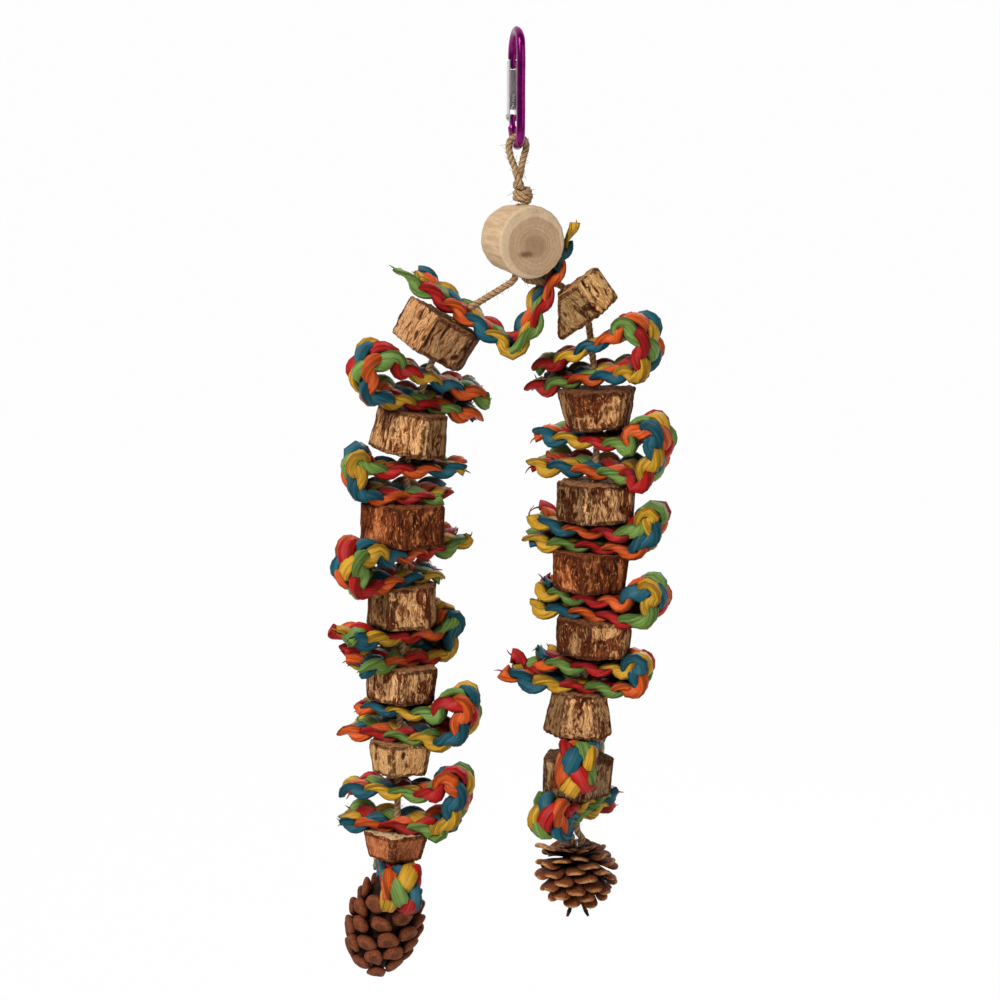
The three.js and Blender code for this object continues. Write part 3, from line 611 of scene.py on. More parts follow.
def jute():
    nodes = material_nodes("jute")
    at = nodes.grain()
    fibres = nodes.streaks(at, (6, 20, 1), 4, 0.65)
    broad = nodes.streaks(at, (1.5, 3, 1), 2)
    tone = nodes.tints(
        colour(138, 100, 64),
        (colour(226, 192, 148), fibres, 0.34, 0.64),
        (colour(168, 128, 86), broad, 0.45, 0.75, 0.6),
    )
    strand = nodes.math("COSINE", nodes.math("MULTIPLY", nodes.part(at, "Y"), math.pi * ROPE_STRANDS))
    # Painted shade in the grooves between the laid strands.
    tone = nodes.tint(colour(112, 78, 48), tone, nodes.math("ABSOLUTE", strand), 0.05, 0.6)
    relief = nodes.bump(fibres, 0.4, 0.9)
    return nodes.finish(Base_Color=tone, Roughness=0.85, Specular_IOR_Level=0.2, Normal=relief)


def leaf(letter):
    """Dyed leaf: fine dark and pale lines along it, faded patches, a painted highlight down each strand's middle,
    painted shade along its edges and in nooks, and a dull satin shine.
    """
    tone = LEAF_COLOURS[letter]
    nodes = material_nodes("palm_leaf_" + letter)
    at = nodes.grain()
    veins = nodes.streaks(at, (0.7, 26, 1), 3, 0.6)
    fine = nodes.streaks(at, (1.5, 80, 1), 2, 0.6)
    broad = nodes.streaks(at, (1.2, 3, 1), 2)
    around = nodes.math("MULTIPLY", nodes.part(at, "Y"), 2 * math.pi)
    rim = nodes.math("ABSOLUTE", nodes.math("COSINE", around))
    # Pale tone for faded patches of dye, and for the painted highlight down each strand's middle.
    faded_and_highlight = tuple(0.85 * part + 0.06 for part in shade(tone, 1.3)[:3]) + (1,)
    body = nodes.tints(
        shade(tone, 0.3),
        (shade(tone, 1.05), veins, 0.34, 0.58),
        (shade(tone, 0.35), fine, 0.47, 0.32, 0.65),
        (faded_and_highlight, broad, 0.48, 0.75, 0.6),
        (shade(tone, 0.55), broad, 0.45, 0.2, 0.6),
        # Painted highlight down the middle of each strand, and painted shade along its edges where the strands
        # tuck under each other.
        (faded_and_highlight, rim, 0.5, 0.1, 0.35),
        (shade(tone, 0.25), rim, 0.86, 0.98, 0.7),
    )
    # Painted shade in the nooks between strands and layers.
    body = nodes.paint_nook_shade(body, reach=9, dark=0.14)
    rough = nodes.ramp(veins, 0.3, 0.7, 0.65, 0.42)
    relief = nodes.bump(fine, 0.16, 0.8, nodes.bump(veins, 0.45, 1.0))
    return nodes.finish(Base_Color=body, Roughness=rough, Specular_IOR_Level=0.2, Normal=relief)


def palm_sides(nodes, grain, pale, fibre, dark_share):
    """Fine fibres along the cord, with dark streaks among them, and painted light and shade by the side of the
    block.
    """
    dark = nodes.ramp(grain["patch"], 0.64 - 0.25 * dark_share, 0.69 - 0.25 * dark_share)
    pale_fibre = nodes.mix(dark, pale, colour(112, 54, 26))
    dark_fibre = nodes.mix(dark, fibre, colour(44, 16, 8))
    body = nodes.tints(
        dark_fibre,
        (pale_fibre, grain["fibres"], 0.37, 0.57),
        (shade(pale, 1.35), grain["thin"], 0.56, 0.7, 0.75),
        (shade(fibre, 0.45), grain["thin"], 0.44, 0.32, 0.75),
    )
    body = nodes.mix(1.0, body, nodes.ramp(grain["grit"], 0.32, 0.68, 0.72, 1.2), "MULTIPLY")
    # Painted light on the side that faces the block's chosen angle, and painted shade on the sides turned away.
    return nodes.mix(1.0, body, nodes.ramp(nodes.point("painted_side_light"), 0, 1, 0.56, 1.46), "MULTIPLY")


def palm_wear_and_pit_shade(nodes, grain, body, fleck_share):
    """Adds red-brown flecks and worn corners, and paints shade into the hollow pits."""
    edge = 0.71 - 0.17 * fleck_share
    body = nodes.tint(body, colour(76, 33, 17), grain["flecks"], edge, edge + 0.03, 0.9)
    corner = nodes.ramp(nodes.point("corner"), 0.008, 0.026)
    worn = nodes.math("MULTIPLY", corner, nodes.ramp(grain["pits"], 0.34, 0.52))
    body = nodes.mix(nodes.math("MULTIPLY", worn, 0.85), body, colour(72, 34, 18))
    # Painted shade in the pits, darker where they are deeper.
    return nodes.tint(body, colour(76, 33, 18), nodes.point("hollow"), 0.15, 0.8, 0.9)


def palm_ends(nodes, grain, body, ends):
    """Lays rough cut wood over the block's two ends."""
    rough_end = nodes.tint(shade(ends, 0.45), shade(ends, 1.3), grain["pits"], 0.36, 0.56)
    rough_end = nodes.tint(rough_end, shade(ends, 1.7), grain["thin"], 0.55, 0.7, 0.6)
    return nodes.tint(body, rough_end, nodes.facing("Z"), 0.62, 0.85)


def palm_wood(name, pale, fibre, ends, dark_share, fleck_share):
    """Fibrous wood. The shares say how much of a block's sides the dark streaks and the flecks take."""
    nodes = material_nodes(name)
    at = nodes.wavy(nodes.point("local", "Vector"), 110, 0.006)
    grain = {kind: nodes.streaks(at, *values) for kind, values in PALM_GRAINS.items()}
    body = palm_sides(nodes, grain, colour(*pale), colour(*fibre), dark_share)
    body = palm_wear_and_pit_shade(nodes, grain, body, fleck_share)
    body = palm_ends(nodes, grain, body, colour(*ends))
    # Painted shade in the nooks round the block.
    body = nodes.paint_nook_shade(body, reach=6, dark=0.4)
    lines = nodes.math("ADD", grain["fibres"], grain["thin"])
    relief = nodes.bump(grain["pits"], 0.4, 0.6, nodes.bump(lines, 0.6, 0.9))
    return nodes.finish(Base_Color=body, Roughness=0.85, Specular_IOR_Level=0.08, Normal=relief)


def pith_distance(nodes, flat):
    """Distance from the pith in millimetres, uneven enough for the rings to wander."""
    wander = nodes.streaks(flat, (90, 90, 90), 2)
    distance = nodes.math("MULTIPLY", nodes.length(flat), 1 / MM)
    return nodes.math("ADD", distance, nodes.math("MULTIPLY", wander, 3.2))


def smear_distance(nodes, flat, saw):
    """Distance in millimetres from a dark smear beside the pith, drawn out by the saw."""
    beside = nodes.add("Mapping", Vector=flat, Location=Vector((3.1, 0, 6.2)) * MM, Scale=(0.65, 1, 1.6))
    distance = nodes.math("MULTIPLY", nodes.length(beside.outputs["Vector"]), 1 / MM)
    return nodes.math("ADD", distance, nodes.math("MULTIPLY", saw, 3))


def sawn_end(nodes, at, saw):
    """Soft growth rings round an off-centre pith, pale rays across them, and a dark heart."""
    parts = nodes.add("SeparateXYZ", Vector=at).outputs
    flat = nodes.add("CombineXYZ", X=parts["X"], Z=parts["Z"]).outputs[0]
    distance = pith_distance(nodes, flat)
    reach = nodes.add("CombineXYZ", X=distance).outputs[0]
    rings = nodes.noise(reach, 1.1, 4, 0.75)
    fine_rings = nodes.noise(reach, 3.4, 1)
    angle = nodes.math("MULTIPLY", nodes.math("ARCTAN2", parts["Z"], parts["X"]), 26)
    spokes = nodes.add("CombineXYZ", X=angle, Y=nodes.math("MULTIPLY", distance, 0.35)).outputs[0]
    rays = nodes.noise(spokes, 1, 3, 0.6)
    speck = nodes.streaks(at, (900, 900, 900), 4, 0.7)
    return nodes.tints(
        colour(182, 144, 108),
        (colour(222, 188, 150), rings, 0.3, 0.7),
        (colour(160, 120, 86), fine_rings, 0.48, 0.3, 0.4),
        (colour(232, 204, 168), rays, 0.52, 0.7, 0.5),
        (colour(156, 114, 82), distance, 10.5, 4.5, 0.6),
        (colour(232, 204, 166), distance, 15.4, 16.4, 0.75),
        (colour(150, 110, 78), speck, 0.46, 0.3, 0.35),
        (colour(96, 62, 42), smear_distance(nodes, flat, saw), 5.2, 2.2, 0.8),
    )


def peeled_wood():
    """Sawn ends and a smooth peeled side."""
    nodes = material_nodes("peeled_log")
    at = nodes.point("local", "Vector")
    saw = nodes.streaks(at, (1500, 200, 240))
    side = nodes.streaks(at, (500, 60, 500), 4, 0.6)
    peeled = nodes.tint(colour(204, 168, 128), colour(228, 196, 156), side, 0.3, 0.7)
    tone = nodes.tint(peeled, sawn_end(nodes, at, saw), nodes.facing("Y"), 0.6, 0.85)
    relief = nodes.bump(saw, 0.18, 0.6, nodes.bump(side, 0.25, 0.5))
    return nodes.finish(Base_Color=tone, Roughness=0.68, Specular_IOR_Level=0.3, Normal=relief)


def cone_wood(name, root, body, end, boss):
    """A scale is dark at its root, partly its own colour and partly painted shade where the roots lie deep between
    the scales, and palest near its end, with fine lines along it and a small boss. Painted shade darkens the
    nooks.
    """
    root, body, end, boss = colour(*root), colour(*body), colour(*end), colour(*boss)
    nodes = material_nodes(name)
    at = nodes.grain()
    along = nodes.part(at, "X")
    place = nodes.object_place()
    lines = nodes.streaks(at, (3, 30, 1), 4, 0.65)
    broad = nodes.streaks(place, (160, 160, 160))
    rough = nodes.streaks(place, (900, 900, 900), 3, 0.65)
    # From the root's dark tone, partly painted shade, to the pale end.
    tone = nodes.tints(
        root,
        (body, along, 0.35, 0.85),
        (end, along, 0.88, 0.97, 0.8),
        (boss, along, 0.975, 1.0, 0.7),
        (shade(root, 0.7), lines, 0.5, 0.3, 0.6),
        (shade(body, 1.3), broad, 0.4, 0.7, 0.5),
    )
    tone = nodes.mix(1.0, tone, nodes.ramp(rough, 0.3, 0.68, 0.6, 1.2), "MULTIPLY")
    # Painted shade in the nooks between scales.
    tone = nodes.paint_nook_shade(tone, reach=7, dark=0.3)
    relief = nodes.bump(rough, 0.45, 0.8, nodes.bump(lines, 0.3, 0.8))
    return nodes.finish(Base_Color=tone, Roughness=0.75, Specular_IOR_Level=0.22, Normal=relief)


PURPLE = anodised()
STEEL = bright_steel()
JUTE = jute()
LEAVES = {letter: leaf(letter) for letter in LEAF_COLOURS}
BLOCK_MATERIALS = {name: palm_wood(name + "_palm_wood", *wood) for name, wood in PALM_WOODS.items()}
PEELED_WOOD = peeled_wood()
CONE_MATERIALS = {
    "left": cone_wood("closed_cone", *CONE_TONES["left"]),
    "right": cone_wood("open_cone", *CONE_TONES["right"]),
}


# Cords

def rope_rings(points):
    """A laid cord: a ring with a lobe for each strand, turned along the way."""
    along = np.arange(len(points)) * ROPE_STEP
    angles, ring = ring_directions(points, ROPE_POINTS)
    laid = angles[None] - 2 * math.pi * along[:, None] / ROPE_PITCH
    lobes = np.abs(np.cos(laid * ROPE_STRANDS / 2)) ** 0.7
    uneven = 0.03 * np.sin(7.3 * along)[:, None] * np.sin(5 * angles + 2.1 * along[:, None])
    radius = CORD / 2 * (FULLNESS - LOBE + LOBE * lobes + uneven)
    radius = radius * rounded_ends(len(points), ROPE_STEP, 1)[:, None]
    return points[:, None] + radius[:, :, None] * ring


def rope(skin, points):
    along = np.arange(len(points)) * ROPE_STEP
    skin.tube(rope_rings(points), 0, along / 10, -along / ROPE_PITCH)


def stray_fibre(skin, start, direction, reach, curl):
    """A thin fibre that leaves a surface and bends away."""
    points = np.array([start + direction * reach * t + curl * reach * t * t for t in np.linspace(0, 1, 6)])
    skin.tube(round_rings(points, FIBRE / 2 * np.array((1, 1, 0.95, 0.85, 0.7, 0.4)), 4), 0, np.full(6, 0.3))


def fuzz(node, points):
    """Stray fibres along a cord, as a piece of their own on the same body."""
    chance = random.Random(node + "_fuzz")
    along = tangents(points)
    sides = carried_sides(points)
    ups = np.cross(along, sides)
    skin = Skin()
    for i in range(2, len(points) - 2, int(FIBRE_STEP / ROPE_STEP)):
        angle = chance.uniform(0, 2 * math.pi)
        away = sides[i] * math.cos(angle) + ups[i] * math.sin(angle)
        slant = along[i] * chance.uniform(-1.2, 1.2)
        curl = np.array([chance.uniform(-0.4, 0.4) for _ in range(3)])
        stray_fibre(skin, points[i] + away * CORD * 0.4, unit(away + slant), chance.uniform(1.2, 3.4), curl)
    obj = skin.piece(node + "_fuzz", [JUTE])
    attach(obj, body_of(node))


def in_mm(vector):
    return np.array(vector) / MM


BAR, _ = joint("loop_swing")
LOG_LOW, LOG_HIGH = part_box("log_slice")
KNOT_LOW, KNOT_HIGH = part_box("loop_knot")
KNOT_X = in_mm((KNOT_LOW + KNOT_HIGH) / 2)[0]


def loop_path():
    """Up from the knot, over the clip's bottom bar and down again. The two strands twist at the foot."""
    bar = in_mm(BAR)
    low = KNOT_HIGH.z / MM - 1
    tall = bar[2] - low
    foot = KNOT_X + LOOP_SHIFT
    round_bar = CLIP_ROD / 2 + CORD / 2 + RUNNING
    half = 0.42 * CORD
    def strand(sign):
        points = []
        for share in (0, 0.12, 0.24, 0.36, LOOP_PARTS):
            angle = 2 * math.pi * LOOP_TWIST * (LOOP_PARTS - share)
            x = foot + (bar[0] - foot) * share + sign * half * math.cos(angle)
            points.append((x, sign * half * math.sin(angle), low + share * tall))
        points.append((bar[0] + sign * 0.7 * round_bar, 0, low + 0.7 * tall))
        points.append((bar[0] + sign * round_bar, 0, bar[2]))
        points.append((bar[0] + sign * 0.7 * round_bar, 0, bar[2] + 0.72 * round_bar))
        return points
    over = [(bar[0], 0, bar[2] + round_bar)]
    return smooth_path(strand(-1) + over + strand(1)[::-1], ROPE_STEP)


def knot_path():
    """A little over two turns round the strands, tucked in at both ends."""
    low = KNOT_LOW.z / MM
    high = KNOT_HIGH.z / MM
    radius = (KNOT_HIGH.x - KNOT_LOW.x) / MM / 2 - CORD / 2 + KNOT_FULL
    points = [(KNOT_X, 0, low + 1)]
    for t in np.linspace(0, 1, 28):
        angle = 2 * math.pi * KNOT_TURNS * t - 1.2
        swell = radius * (1 - 0.18 * abs(2 * t - 1))
        height = low - KNOT_FULL + CORD / 2 + (high - low - CORD + KNOT_FULL) * t + 0.7 * math.sin(angle)
        points.append((KNOT_X + swell * math.cos(angle), swell * math.sin(angle), height))
    points.append((KNOT_X - 1, 0, high - 1.2))
    return smooth_path(points, ROPE_STEP)


def block_ends(leg, number, foot):
    """Top and bottom of a block on the cord, in millimetres. Its foot is on a bend of the leg."""
    middle, _ = joint(f"{leg}_block_{number}_turn")
    bottom, _ = joint(foot)
    return in_mm(2 * middle - bottom), in_mm(bottom)


def diagonal_path(leg):
    sign = -1 if leg == "left" else 1
    x = KNOT_X + sign * STRAND_SPREAD / 2
    top, bottom = block_ends(leg, 1, leg + "_leg_1_swing")
    axis = unit(top - bottom)
    into_log = (x, 0, LOG_HIGH.z / MM - TOUCH)
    out_of_log = (x, 0, LOG_LOW.z / MM - CORD / 2)
    points = [into_log, out_of_log, top + axis * CORD_BEND, bottom + axis * END_GAP]
    return bent_path(points, CORD_BEND, ROPE_STEP)


def leg_paths(leg):
    """The three lengths of a leg's cord. The last ends in a loop for the screw eye."""
    top, foot = block_ends(leg, 2, leg + "_leg_2_bend")
    first = in_mm(joint(leg + "_leg_1_swing")[0])
    third = in_mm(joint(leg + "_leg_3_swing")[0])
    hang = in_mm(joint(leg + "_cone_swing")[0])
    end = hang + np.array((0, 0, 2 * END_LOOP))
    angles = np.linspace(0, 2 * math.pi, 13)
    ring = [hang + END_LOOP * np.array((math.sin(angle), 0, 1 + math.cos(angle))) for angle in angles]
    lead = [third, (third + end) / 2, end + np.array((0, 0, RING_LEAD))]
    return {
        "cord_1": bent_path([first, top, foot + unit(top - foot) * END_GAP], CORD_BEND, ROPE_STEP),
        "cord_2": resample(np.array([foot, third + unit(foot - third) * END_GAP]), ROPE_STEP),
        "cord_3": smooth_path(lead + ring[1:-1], ROPE_STEP),
    }


def make_cord(node, path):
    skin = Skin()
    rope(skin, path)
    obj = dress(skin.piece(node + "_jute", [JUTE]), node)
    fuzz(node, path)
    return obj


def make_cords():
    path = loop_path()
    make_cord("hanging_loop", path)
    make_cord("loop_knot", knot_path())
    for leg in LEGS:
        path = diagonal_path(leg)
        make_cord(f"{leg}_diagonal", path)
        for name, path in leg_paths(leg).items():
            make_cord(f"{leg}_{name}", path)


# Clip

def clip_place():
    """The clip's own axes: X along the gate's rivet, Y from the spine to the gate, Z up."""
    _, across = joint("gate_hinge")
    _, away = joint("loop_swing")
    return Matrix((across, away, across.cross(away))).transposed().to_4x4()


CLIP_BOTTOM = -(CLIP_LENGTH - 1.5 * CLIP_ROD)
SPINE_Y = CLIP_APEX - (CLIP_WIDTH - CLIP_ROD) / 2
GATE_Y = SPINE_Y + CLIP_WIDTH - CLIP_ROD
RIVET_Z = CLIP_BOTTOM + CLIP_ROD / 2 + FOOT_RISE
NOSE_Z = -NOSE_DROP


def clip_path():
    """A D outline: both bends peak near the spine and slope to the gate side."""
    top = CLIP_ROD / 2
    back = SPINE_Y + 0.5 * CLIP_ROD
    outline = [
        (GATE_Y, NOSE_Z),
        (GATE_Y, NOSE_Z + TONGUE_LENGTH),
        (GATE_Y - 1.5, top - 0.45 * NOSE_DROP),
        (0.5 * GATE_Y, top - 0.1 * NOSE_DROP),
        (0, top),
        (back, top - 0.18 * NOSE_DROP),
        (SPINE_Y, top - 0.55 * NOSE_DROP),
        (SPINE_Y, (CLIP_BOTTOM + top) / 2),
        (SPINE_Y, CLIP_BOTTOM + 0.55 * NOSE_DROP),
        (back, CLIP_BOTTOM + 0.18 * NOSE_DROP),
        (0, CLIP_BOTTOM),
        (0.5 * GATE_Y, CLIP_BOTTOM + 0.12 * FOOT_RISE),
        (GATE_Y - 1.2, CLIP_BOTTOM + 0.6 * FOOT_RISE),
        (GATE_Y, RIVET_Z - TONGUE),
        (GATE_Y, RIVET_Z + TONGUE / 2),
    ]
    return smooth_path([(0, y, z) for y, z in outline], CLIP_STEP)


def make_rod(place):
    path = clip_path()
    rings = round_rings(path, CLIP_ROD / 2 * rounded_ends(len(path), CLIP_STEP, 0.8), 28)
    height = path[:, 2]
    nose = (height > NOSE_Z - 1) & (height < NOSE_Z + TONGUE_LENGTH - TOUCH)
    foot = (height > RIVET_Z - (TONGUE_LENGTH + CLIP_ROD) / 2) & (height < RIVET_Z + CLIP_ROD)
    flat = (path[:, 1] > GATE_Y - CLIP_ROD) & (nose | foot)
    rings[flat, :, 0] = np.clip(rings[flat, :, 0], -TONGUE / 2, TONGUE / 2)
    skin = Skin()
    skin.tube(rings)
    dress(skin.piece("clip_rod", [PURPLE], place), "clip_body")


def make_spring(place):
    turns = np.linspace(0, SPRING_TURNS, SPRING_TURNS * 24 + 1)
    angles = 2 * math.pi * turns
    helix = np.stack([SPRING_RADIUS * np.cos(angles), GATE_Y + SPRING_RADIUS * np.sin(angles),
                      RIVET_Z + 0.75 * CLIP_ROD + SPRING_PITCH * turns], axis=1)
    skin = Skin()
    skin.tube(round_rings(helix, SPRING_WIRE / 2, 10))
    dress(skin.piece("gate_spring_wire", [STEEL], place), "gate_spring")


def make_clip():
    place = clip_place()
    make_rod(place)
    make_spring(place)
    for node in ("clip_gate", "gate_rivet"):
        obj = frame["nodes"][node]
        obj.data.materials.clear()
        obj.data.materials.append(STEEL)
        edge = obj.modifiers.new("rounded_edges", "BEVEL")
        edge.width = GATE_EDGE * MM
        edge.segments = 2
        edge.limit_method = "ANGLE"


# Braids

def hanging_end(braid, sign, length):
    centre = -braid["open"] - STRIP_THICKNESS
    beside = BLOCK_CLEAR + SEAT + STRIP_THICKNESS / 2 - FOLD_EDGE
    bend = beside + braid["open"] * (1 + sign)
    return [
        (-FOLD_EDGE - bend, 0, centre - length),
        (-FOLD_EDGE - bend, 0, centre - 0.4 * length),
        (-FOLD_EDGE - 0.72 * bend, 0, centre + 0.7 * bend),
        (-FOLD_EDGE, 0, sign * braid["open"]),
        (-FOLD_EDGE / 2, 0, sign * braid["open"]),
    ]


def hairpin(braid):
    """Centre line of a folded braid: the fold is toward +X and the cord runs along Z."""
    slope = math.tan(math.radians(braid.get("wedge", 0)))
    sag = braid.get("sag", 0)
    reach = braid["reach"]
    tip = reach - STRIP_THICKNESS / 2
    def half(x):
        return braid["open"] + slope * x
    def droop(x):
        curl = braid.get("rise", 0) * max(0, (x - FOLD_EDGE) / (tip - FOLD_EDGE)) ** 2
        return curl - sag * max(0, x / reach) ** 2
    bend = half(tip) + braid.get("bulge", 1)
    fold = max(tip - bend, min(BLOCK_CLEAR + 2, 0.8 * tip))
    flat = min(fold - 2, BLOCK_CLEAR)
    shoulder = fold + 0.72 * (tip - fold)
    def layer(sign):
        return [
            (0, 0, sign * half(0)),
            (0.5 * flat, 0, sign * half(0.5 * flat) + droop(0.5 * flat)),
            (flat, 0, sign * half(flat) + droop(flat)),
            (fold, 0, sign * bend + droop(fold)),
            (shoulder, 0, sign * 0.72 * bend + droop(shoulder)),
        ]
    def end(sign, length, perk):
        if braid.get("hang"):
            return hanging_end(braid, sign, length)
        middle = -(length + FOLD_EDGE) / 2
        return [
            (-length, 0, sign * half(-length) + perk),
            (middle, 0, sign * half(middle) + perk / 4),
            (-FOLD_EDGE / 2, 0, sign * half(-FOLD_EDGE / 2)),
        ]
    perk = braid.get("perk", (0, 0))
    points = end(1, braid["upper"], perk[0]) + layer(1) + [(tip, 0, droop(tip))]
    points += layer(-1)[::-1] + end(-1, braid["lower"], perk[1])[::-1]
    return smooth_path(np.array(points) @ spin(-braid.get("tilt", 0), "Y").T, RING_STEP)


def turned(first, second, angle):
    """Two directions, square to each other, turned together by an angle in radians."""
    cos, sin = np.cos(angle)[:, None], np.sin(angle)[:, None]
    return first * cos + second * sin, second * cos - first * sin


def leaf_rings(middle, side, up, half_wide, half_thick, pleats):
    """Flat oval rings with pleats along the leaf."""
    angles = np.linspace(0, 2 * math.pi, RING_POINTS, endpoint=False)
    flat = blunted(np.cos(angles), 0.9)
    thick = blunted(np.sin(angles), 1.1)
    folds = 1 + 0.17 * np.cos(PLEATS * math.pi * flat[None] + pleats[:, None])
    wide = half_wide[:, None] * flat[None]
    high = half_thick[:, None] * thick[None] * folds
    return middle[:, None] + wide[..., None] * side[:, None] + high[..., None] * up[:, None]


def fray(skin, at, away, side, up, slot, chance):
    """A thin sliver of leaf that sticks out of a cut end."""
    start = at + side * chance.uniform(-3, 3) - away * 2
    lean = side * chance.uniform(-0.5, 0.5) + up * chance.uniform(-0.5, 0.5)
    reach = FRAY_LENGTH * chance.uniform(0.8, 1.6)
    points = np.array([start + (away + lean * t * t) * reach * t for t in np.linspace(0, 1, 5)])
    skin.tube(round_rings(points, np.array((0.6, 0.55, 0.45, 0.35, 0.15)), 5), slot, np.full(5, 0.4))


def missing_rings(strand, leads, chance):
    """How many rings a strand stops short of each end. Leads are the strands that reach farthest there."""
    if leads:
        return [0 if strand == lead else LEAD_RINGS for lead in leads]
    return [chance.randint(0, 3) for _ in range(2)]


class Band:
    """The flat band that a plait fills. Press is the share of the thickness at each point of its path."""

    def __init__(self, path, sides, press):
        along = tangents(path)
        self.path = path
        self.press = press
        self.across = square_to(sides, along)
        self.out = np.cross(self.across, along)
        self.at = np.arange(len(path)) * RING_STEP
        self.ends = np.clip(np.minimum(self.at, self.at[-1] - self.at) / END_TAPER, 0, 1)
        self.thinner = 0.6 + 0.4 * self.ends
        self.full = np.clip((press - 1) / (FULL_FOLD - 1), 0, 1)


def strand_middle(band, angle, waves):
    """Centre line of a strand, from edge to edge of the band and over and under the other strands."""
    lift = STRAND_LIFT * blunted(np.sin(4 * angle), 0.7)
    lift = band.press * lift * band.thinner + 0.2 * waves[1] - CROWN * band.full * np.sin(angle) ** 2
    swing = STRAND_SWING * np.cos(angle) * (1 + 0.1 * (1 - band.ends)) + 0.35 * waves[0]
    return band.path + band.across * swing[:, None] + band.out * lift[:, None]


def strand_up(band, forward, angle, waves):
    """A strand lies flat in the middle of the band and rolls over as it turns back at an edge."""
    roll = math.pi / 2 * (1 + np.sin(math.pi / 2 * np.sin(angle))) + 0.12 * waves[2]
    return square_to(turned(band.out, band.across, roll)[0], forward)


def strand_size(band, angle, waves):
    """Half the width and half the thickness of a strand along the band."""
    edge = np.abs(np.cos(angle)) ** 3
    wide = STRAND_WIDTH / 2 * (1 - 0.2 * edge + 0.1 * waves[3]) * (1 - (1 - band.press) * edge)
    thick = band.press * STRAND_THICKNESS / 2 * band.thinner * (1 + 0.2 * edge + 0.12 * waves[4])
    return wide, thick


def plait(skin, band, order, phase, chance, leads=()):
    """Five pleated strands. Order gives their materials and phase the place of the first, in turns. Leads
    are the strands that reach farthest at the two ends."""
    for k in range(STRANDS):
        angle = 2 * math.pi * (band.at / PLAIT_PERIOD + k / STRANDS + phase)
        waves = [np.sin(band.at / chance.uniform(4, 9) + chance.uniform(0, 6.28)) for _ in range(6)]
        middle = strand_middle(band, angle, waves)
        forward = tangents(middle)
        up = strand_up(band, forward, angle, waves)
        side = np.cross(forward, up)
        rings = leaf_rings(middle, side, up, *strand_size(band, angle, waves), waves[5] + k)
        first, short = missing_rings(k, leads, chance)
        last = len(middle) - 1 - short
        skin.tube(rings[first:last + 1], order[k], band.at[first:last + 1] / 10)
        for end, away in ((first, -forward[first]), (last, forward[last])):
            fray(skin, middle[end], away, side[end], up[end], order[k], chance)


def edge_phase(path, braid):
    """Phase and order of the strands that put the named colours along the front of the lower layer."""
    yaw = math.radians(braid["yaw"])
    near = -1 if math.cos(yaw) > 0 else 1
    edge_y = near * STRIP_WIDTH / 2
    first_x = (braid["first"] + edge_y * math.sin(yaw)) / math.cos(yaw)
    lower = np.arange(len(path) // 2, len(path))
    start = lower[np.argmin(np.abs(path[lower, 0] - first_x))] * RING_STEP
    phase = (0.5 if near < 0 else 0) - start / PLAIT_PERIOD
    letters = list(LEAF_COLOURS)
    colours = [letters.index(letter) for letter in braid["edge"]]
    order = colours if near < 0 else [colours[-k % STRANDS] for k in range(STRANDS)]
    return phase, order


def lay_lower(path, braid):
    """Lifts the lower layer a little and tips its front edge down. Gives the path and its sides."""
    half = len(path) // 2
    lower = np.clip((np.arange(len(path)) - half) / ROLL_RINGS + 0.5, 0, 1)
    lower = eased(lower) * (1 if "roll" in braid else 0)
    tip = math.radians(LOWER_ROLL) * lower * (1 if braid.get("roll", 0) > 0 else -1)
    path = path + np.outer(lower * LOWER_RISE, (0, 0, 1))
    return path, np.stack([np.zeros(len(path)), np.cos(tip), np.sin(tip)], axis=1)


def make_braids():
    materials = list(LEAVES.values())
    for leg in LEGS:
        for number, braid in enumerate(BRAIDS[leg], 1):
            node = f"{leg}_braid_{number}"
            path, sides = lay_lower(hairpin(braid), braid)
            phase, order = edge_phase(path, braid)
            press = np.interp(np.abs(path[:, 0]), (0.7 * FOLD_EDGE, 1.4 * FOLD_EDGE), (PRESSED, FULL_FOLD))
            skin = Skin()
            plait(skin, Band(path, sides, press), order, phase, random.Random(node))
            place = seat(node) @ turn(braid["yaw"], "Z") @ turn(braid.get("roll", 0), "X")
            dress(skin.piece(node + "_plait", materials, place), node)


def make_swag():
    left_top, left_foot = block_ends("left", 1, "left_leg_1_swing")
    right_top, _ = block_ends("right", 1, "right_leg_1_swing")
    left = left_top + unit(left_top - left_foot) * (SWAG_LIFT + STRIP_THICKNESS / 2)
    right = right_top + np.array((-SWAG_LIFT - STRIP_THICKNESS, 0, CORD / 2))
    points = [left + np.array(step) for step in SWAG_LEFT] + [right + np.array(step) for step in SWAG_RIGHT]
    points[0] = points[0] + SWAG_LONGER * unit(points[0] - points[1])
    points[-1] = points[-1] - SWAG_SHORTER * unit(points[-1] - points[-2])
    path = smooth_path(points, RING_STEP)
    sin, cos = math.sin(math.radians(SWAG_ROLL)), math.cos(math.radians(SWAG_ROLL))
    t = np.linspace(0, 1, len(path))
    sides = np.stack([-sin * t, np.full(len(path), cos), sin * (1 - t)], axis=1)
    letters = list(LEAF_COLOURS)
    order = [letters.index(SWAG_EDGE[-k % STRANDS]) for k in range(STRANDS)]
    press = np.interp(t, THINS_OVER, (1, BESIDE_LOG))
    phase = 0.5 - SWAG_FIRST / PLAIT_PERIOD
    skin = Skin()
    plait(skin, Band(path, sides, press), order, phase, random.Random("swag"), leads=(0, 1))
    dress(skin.piece("swag_plait", list(LEAVES.values())), "swag_braid")


# Wood

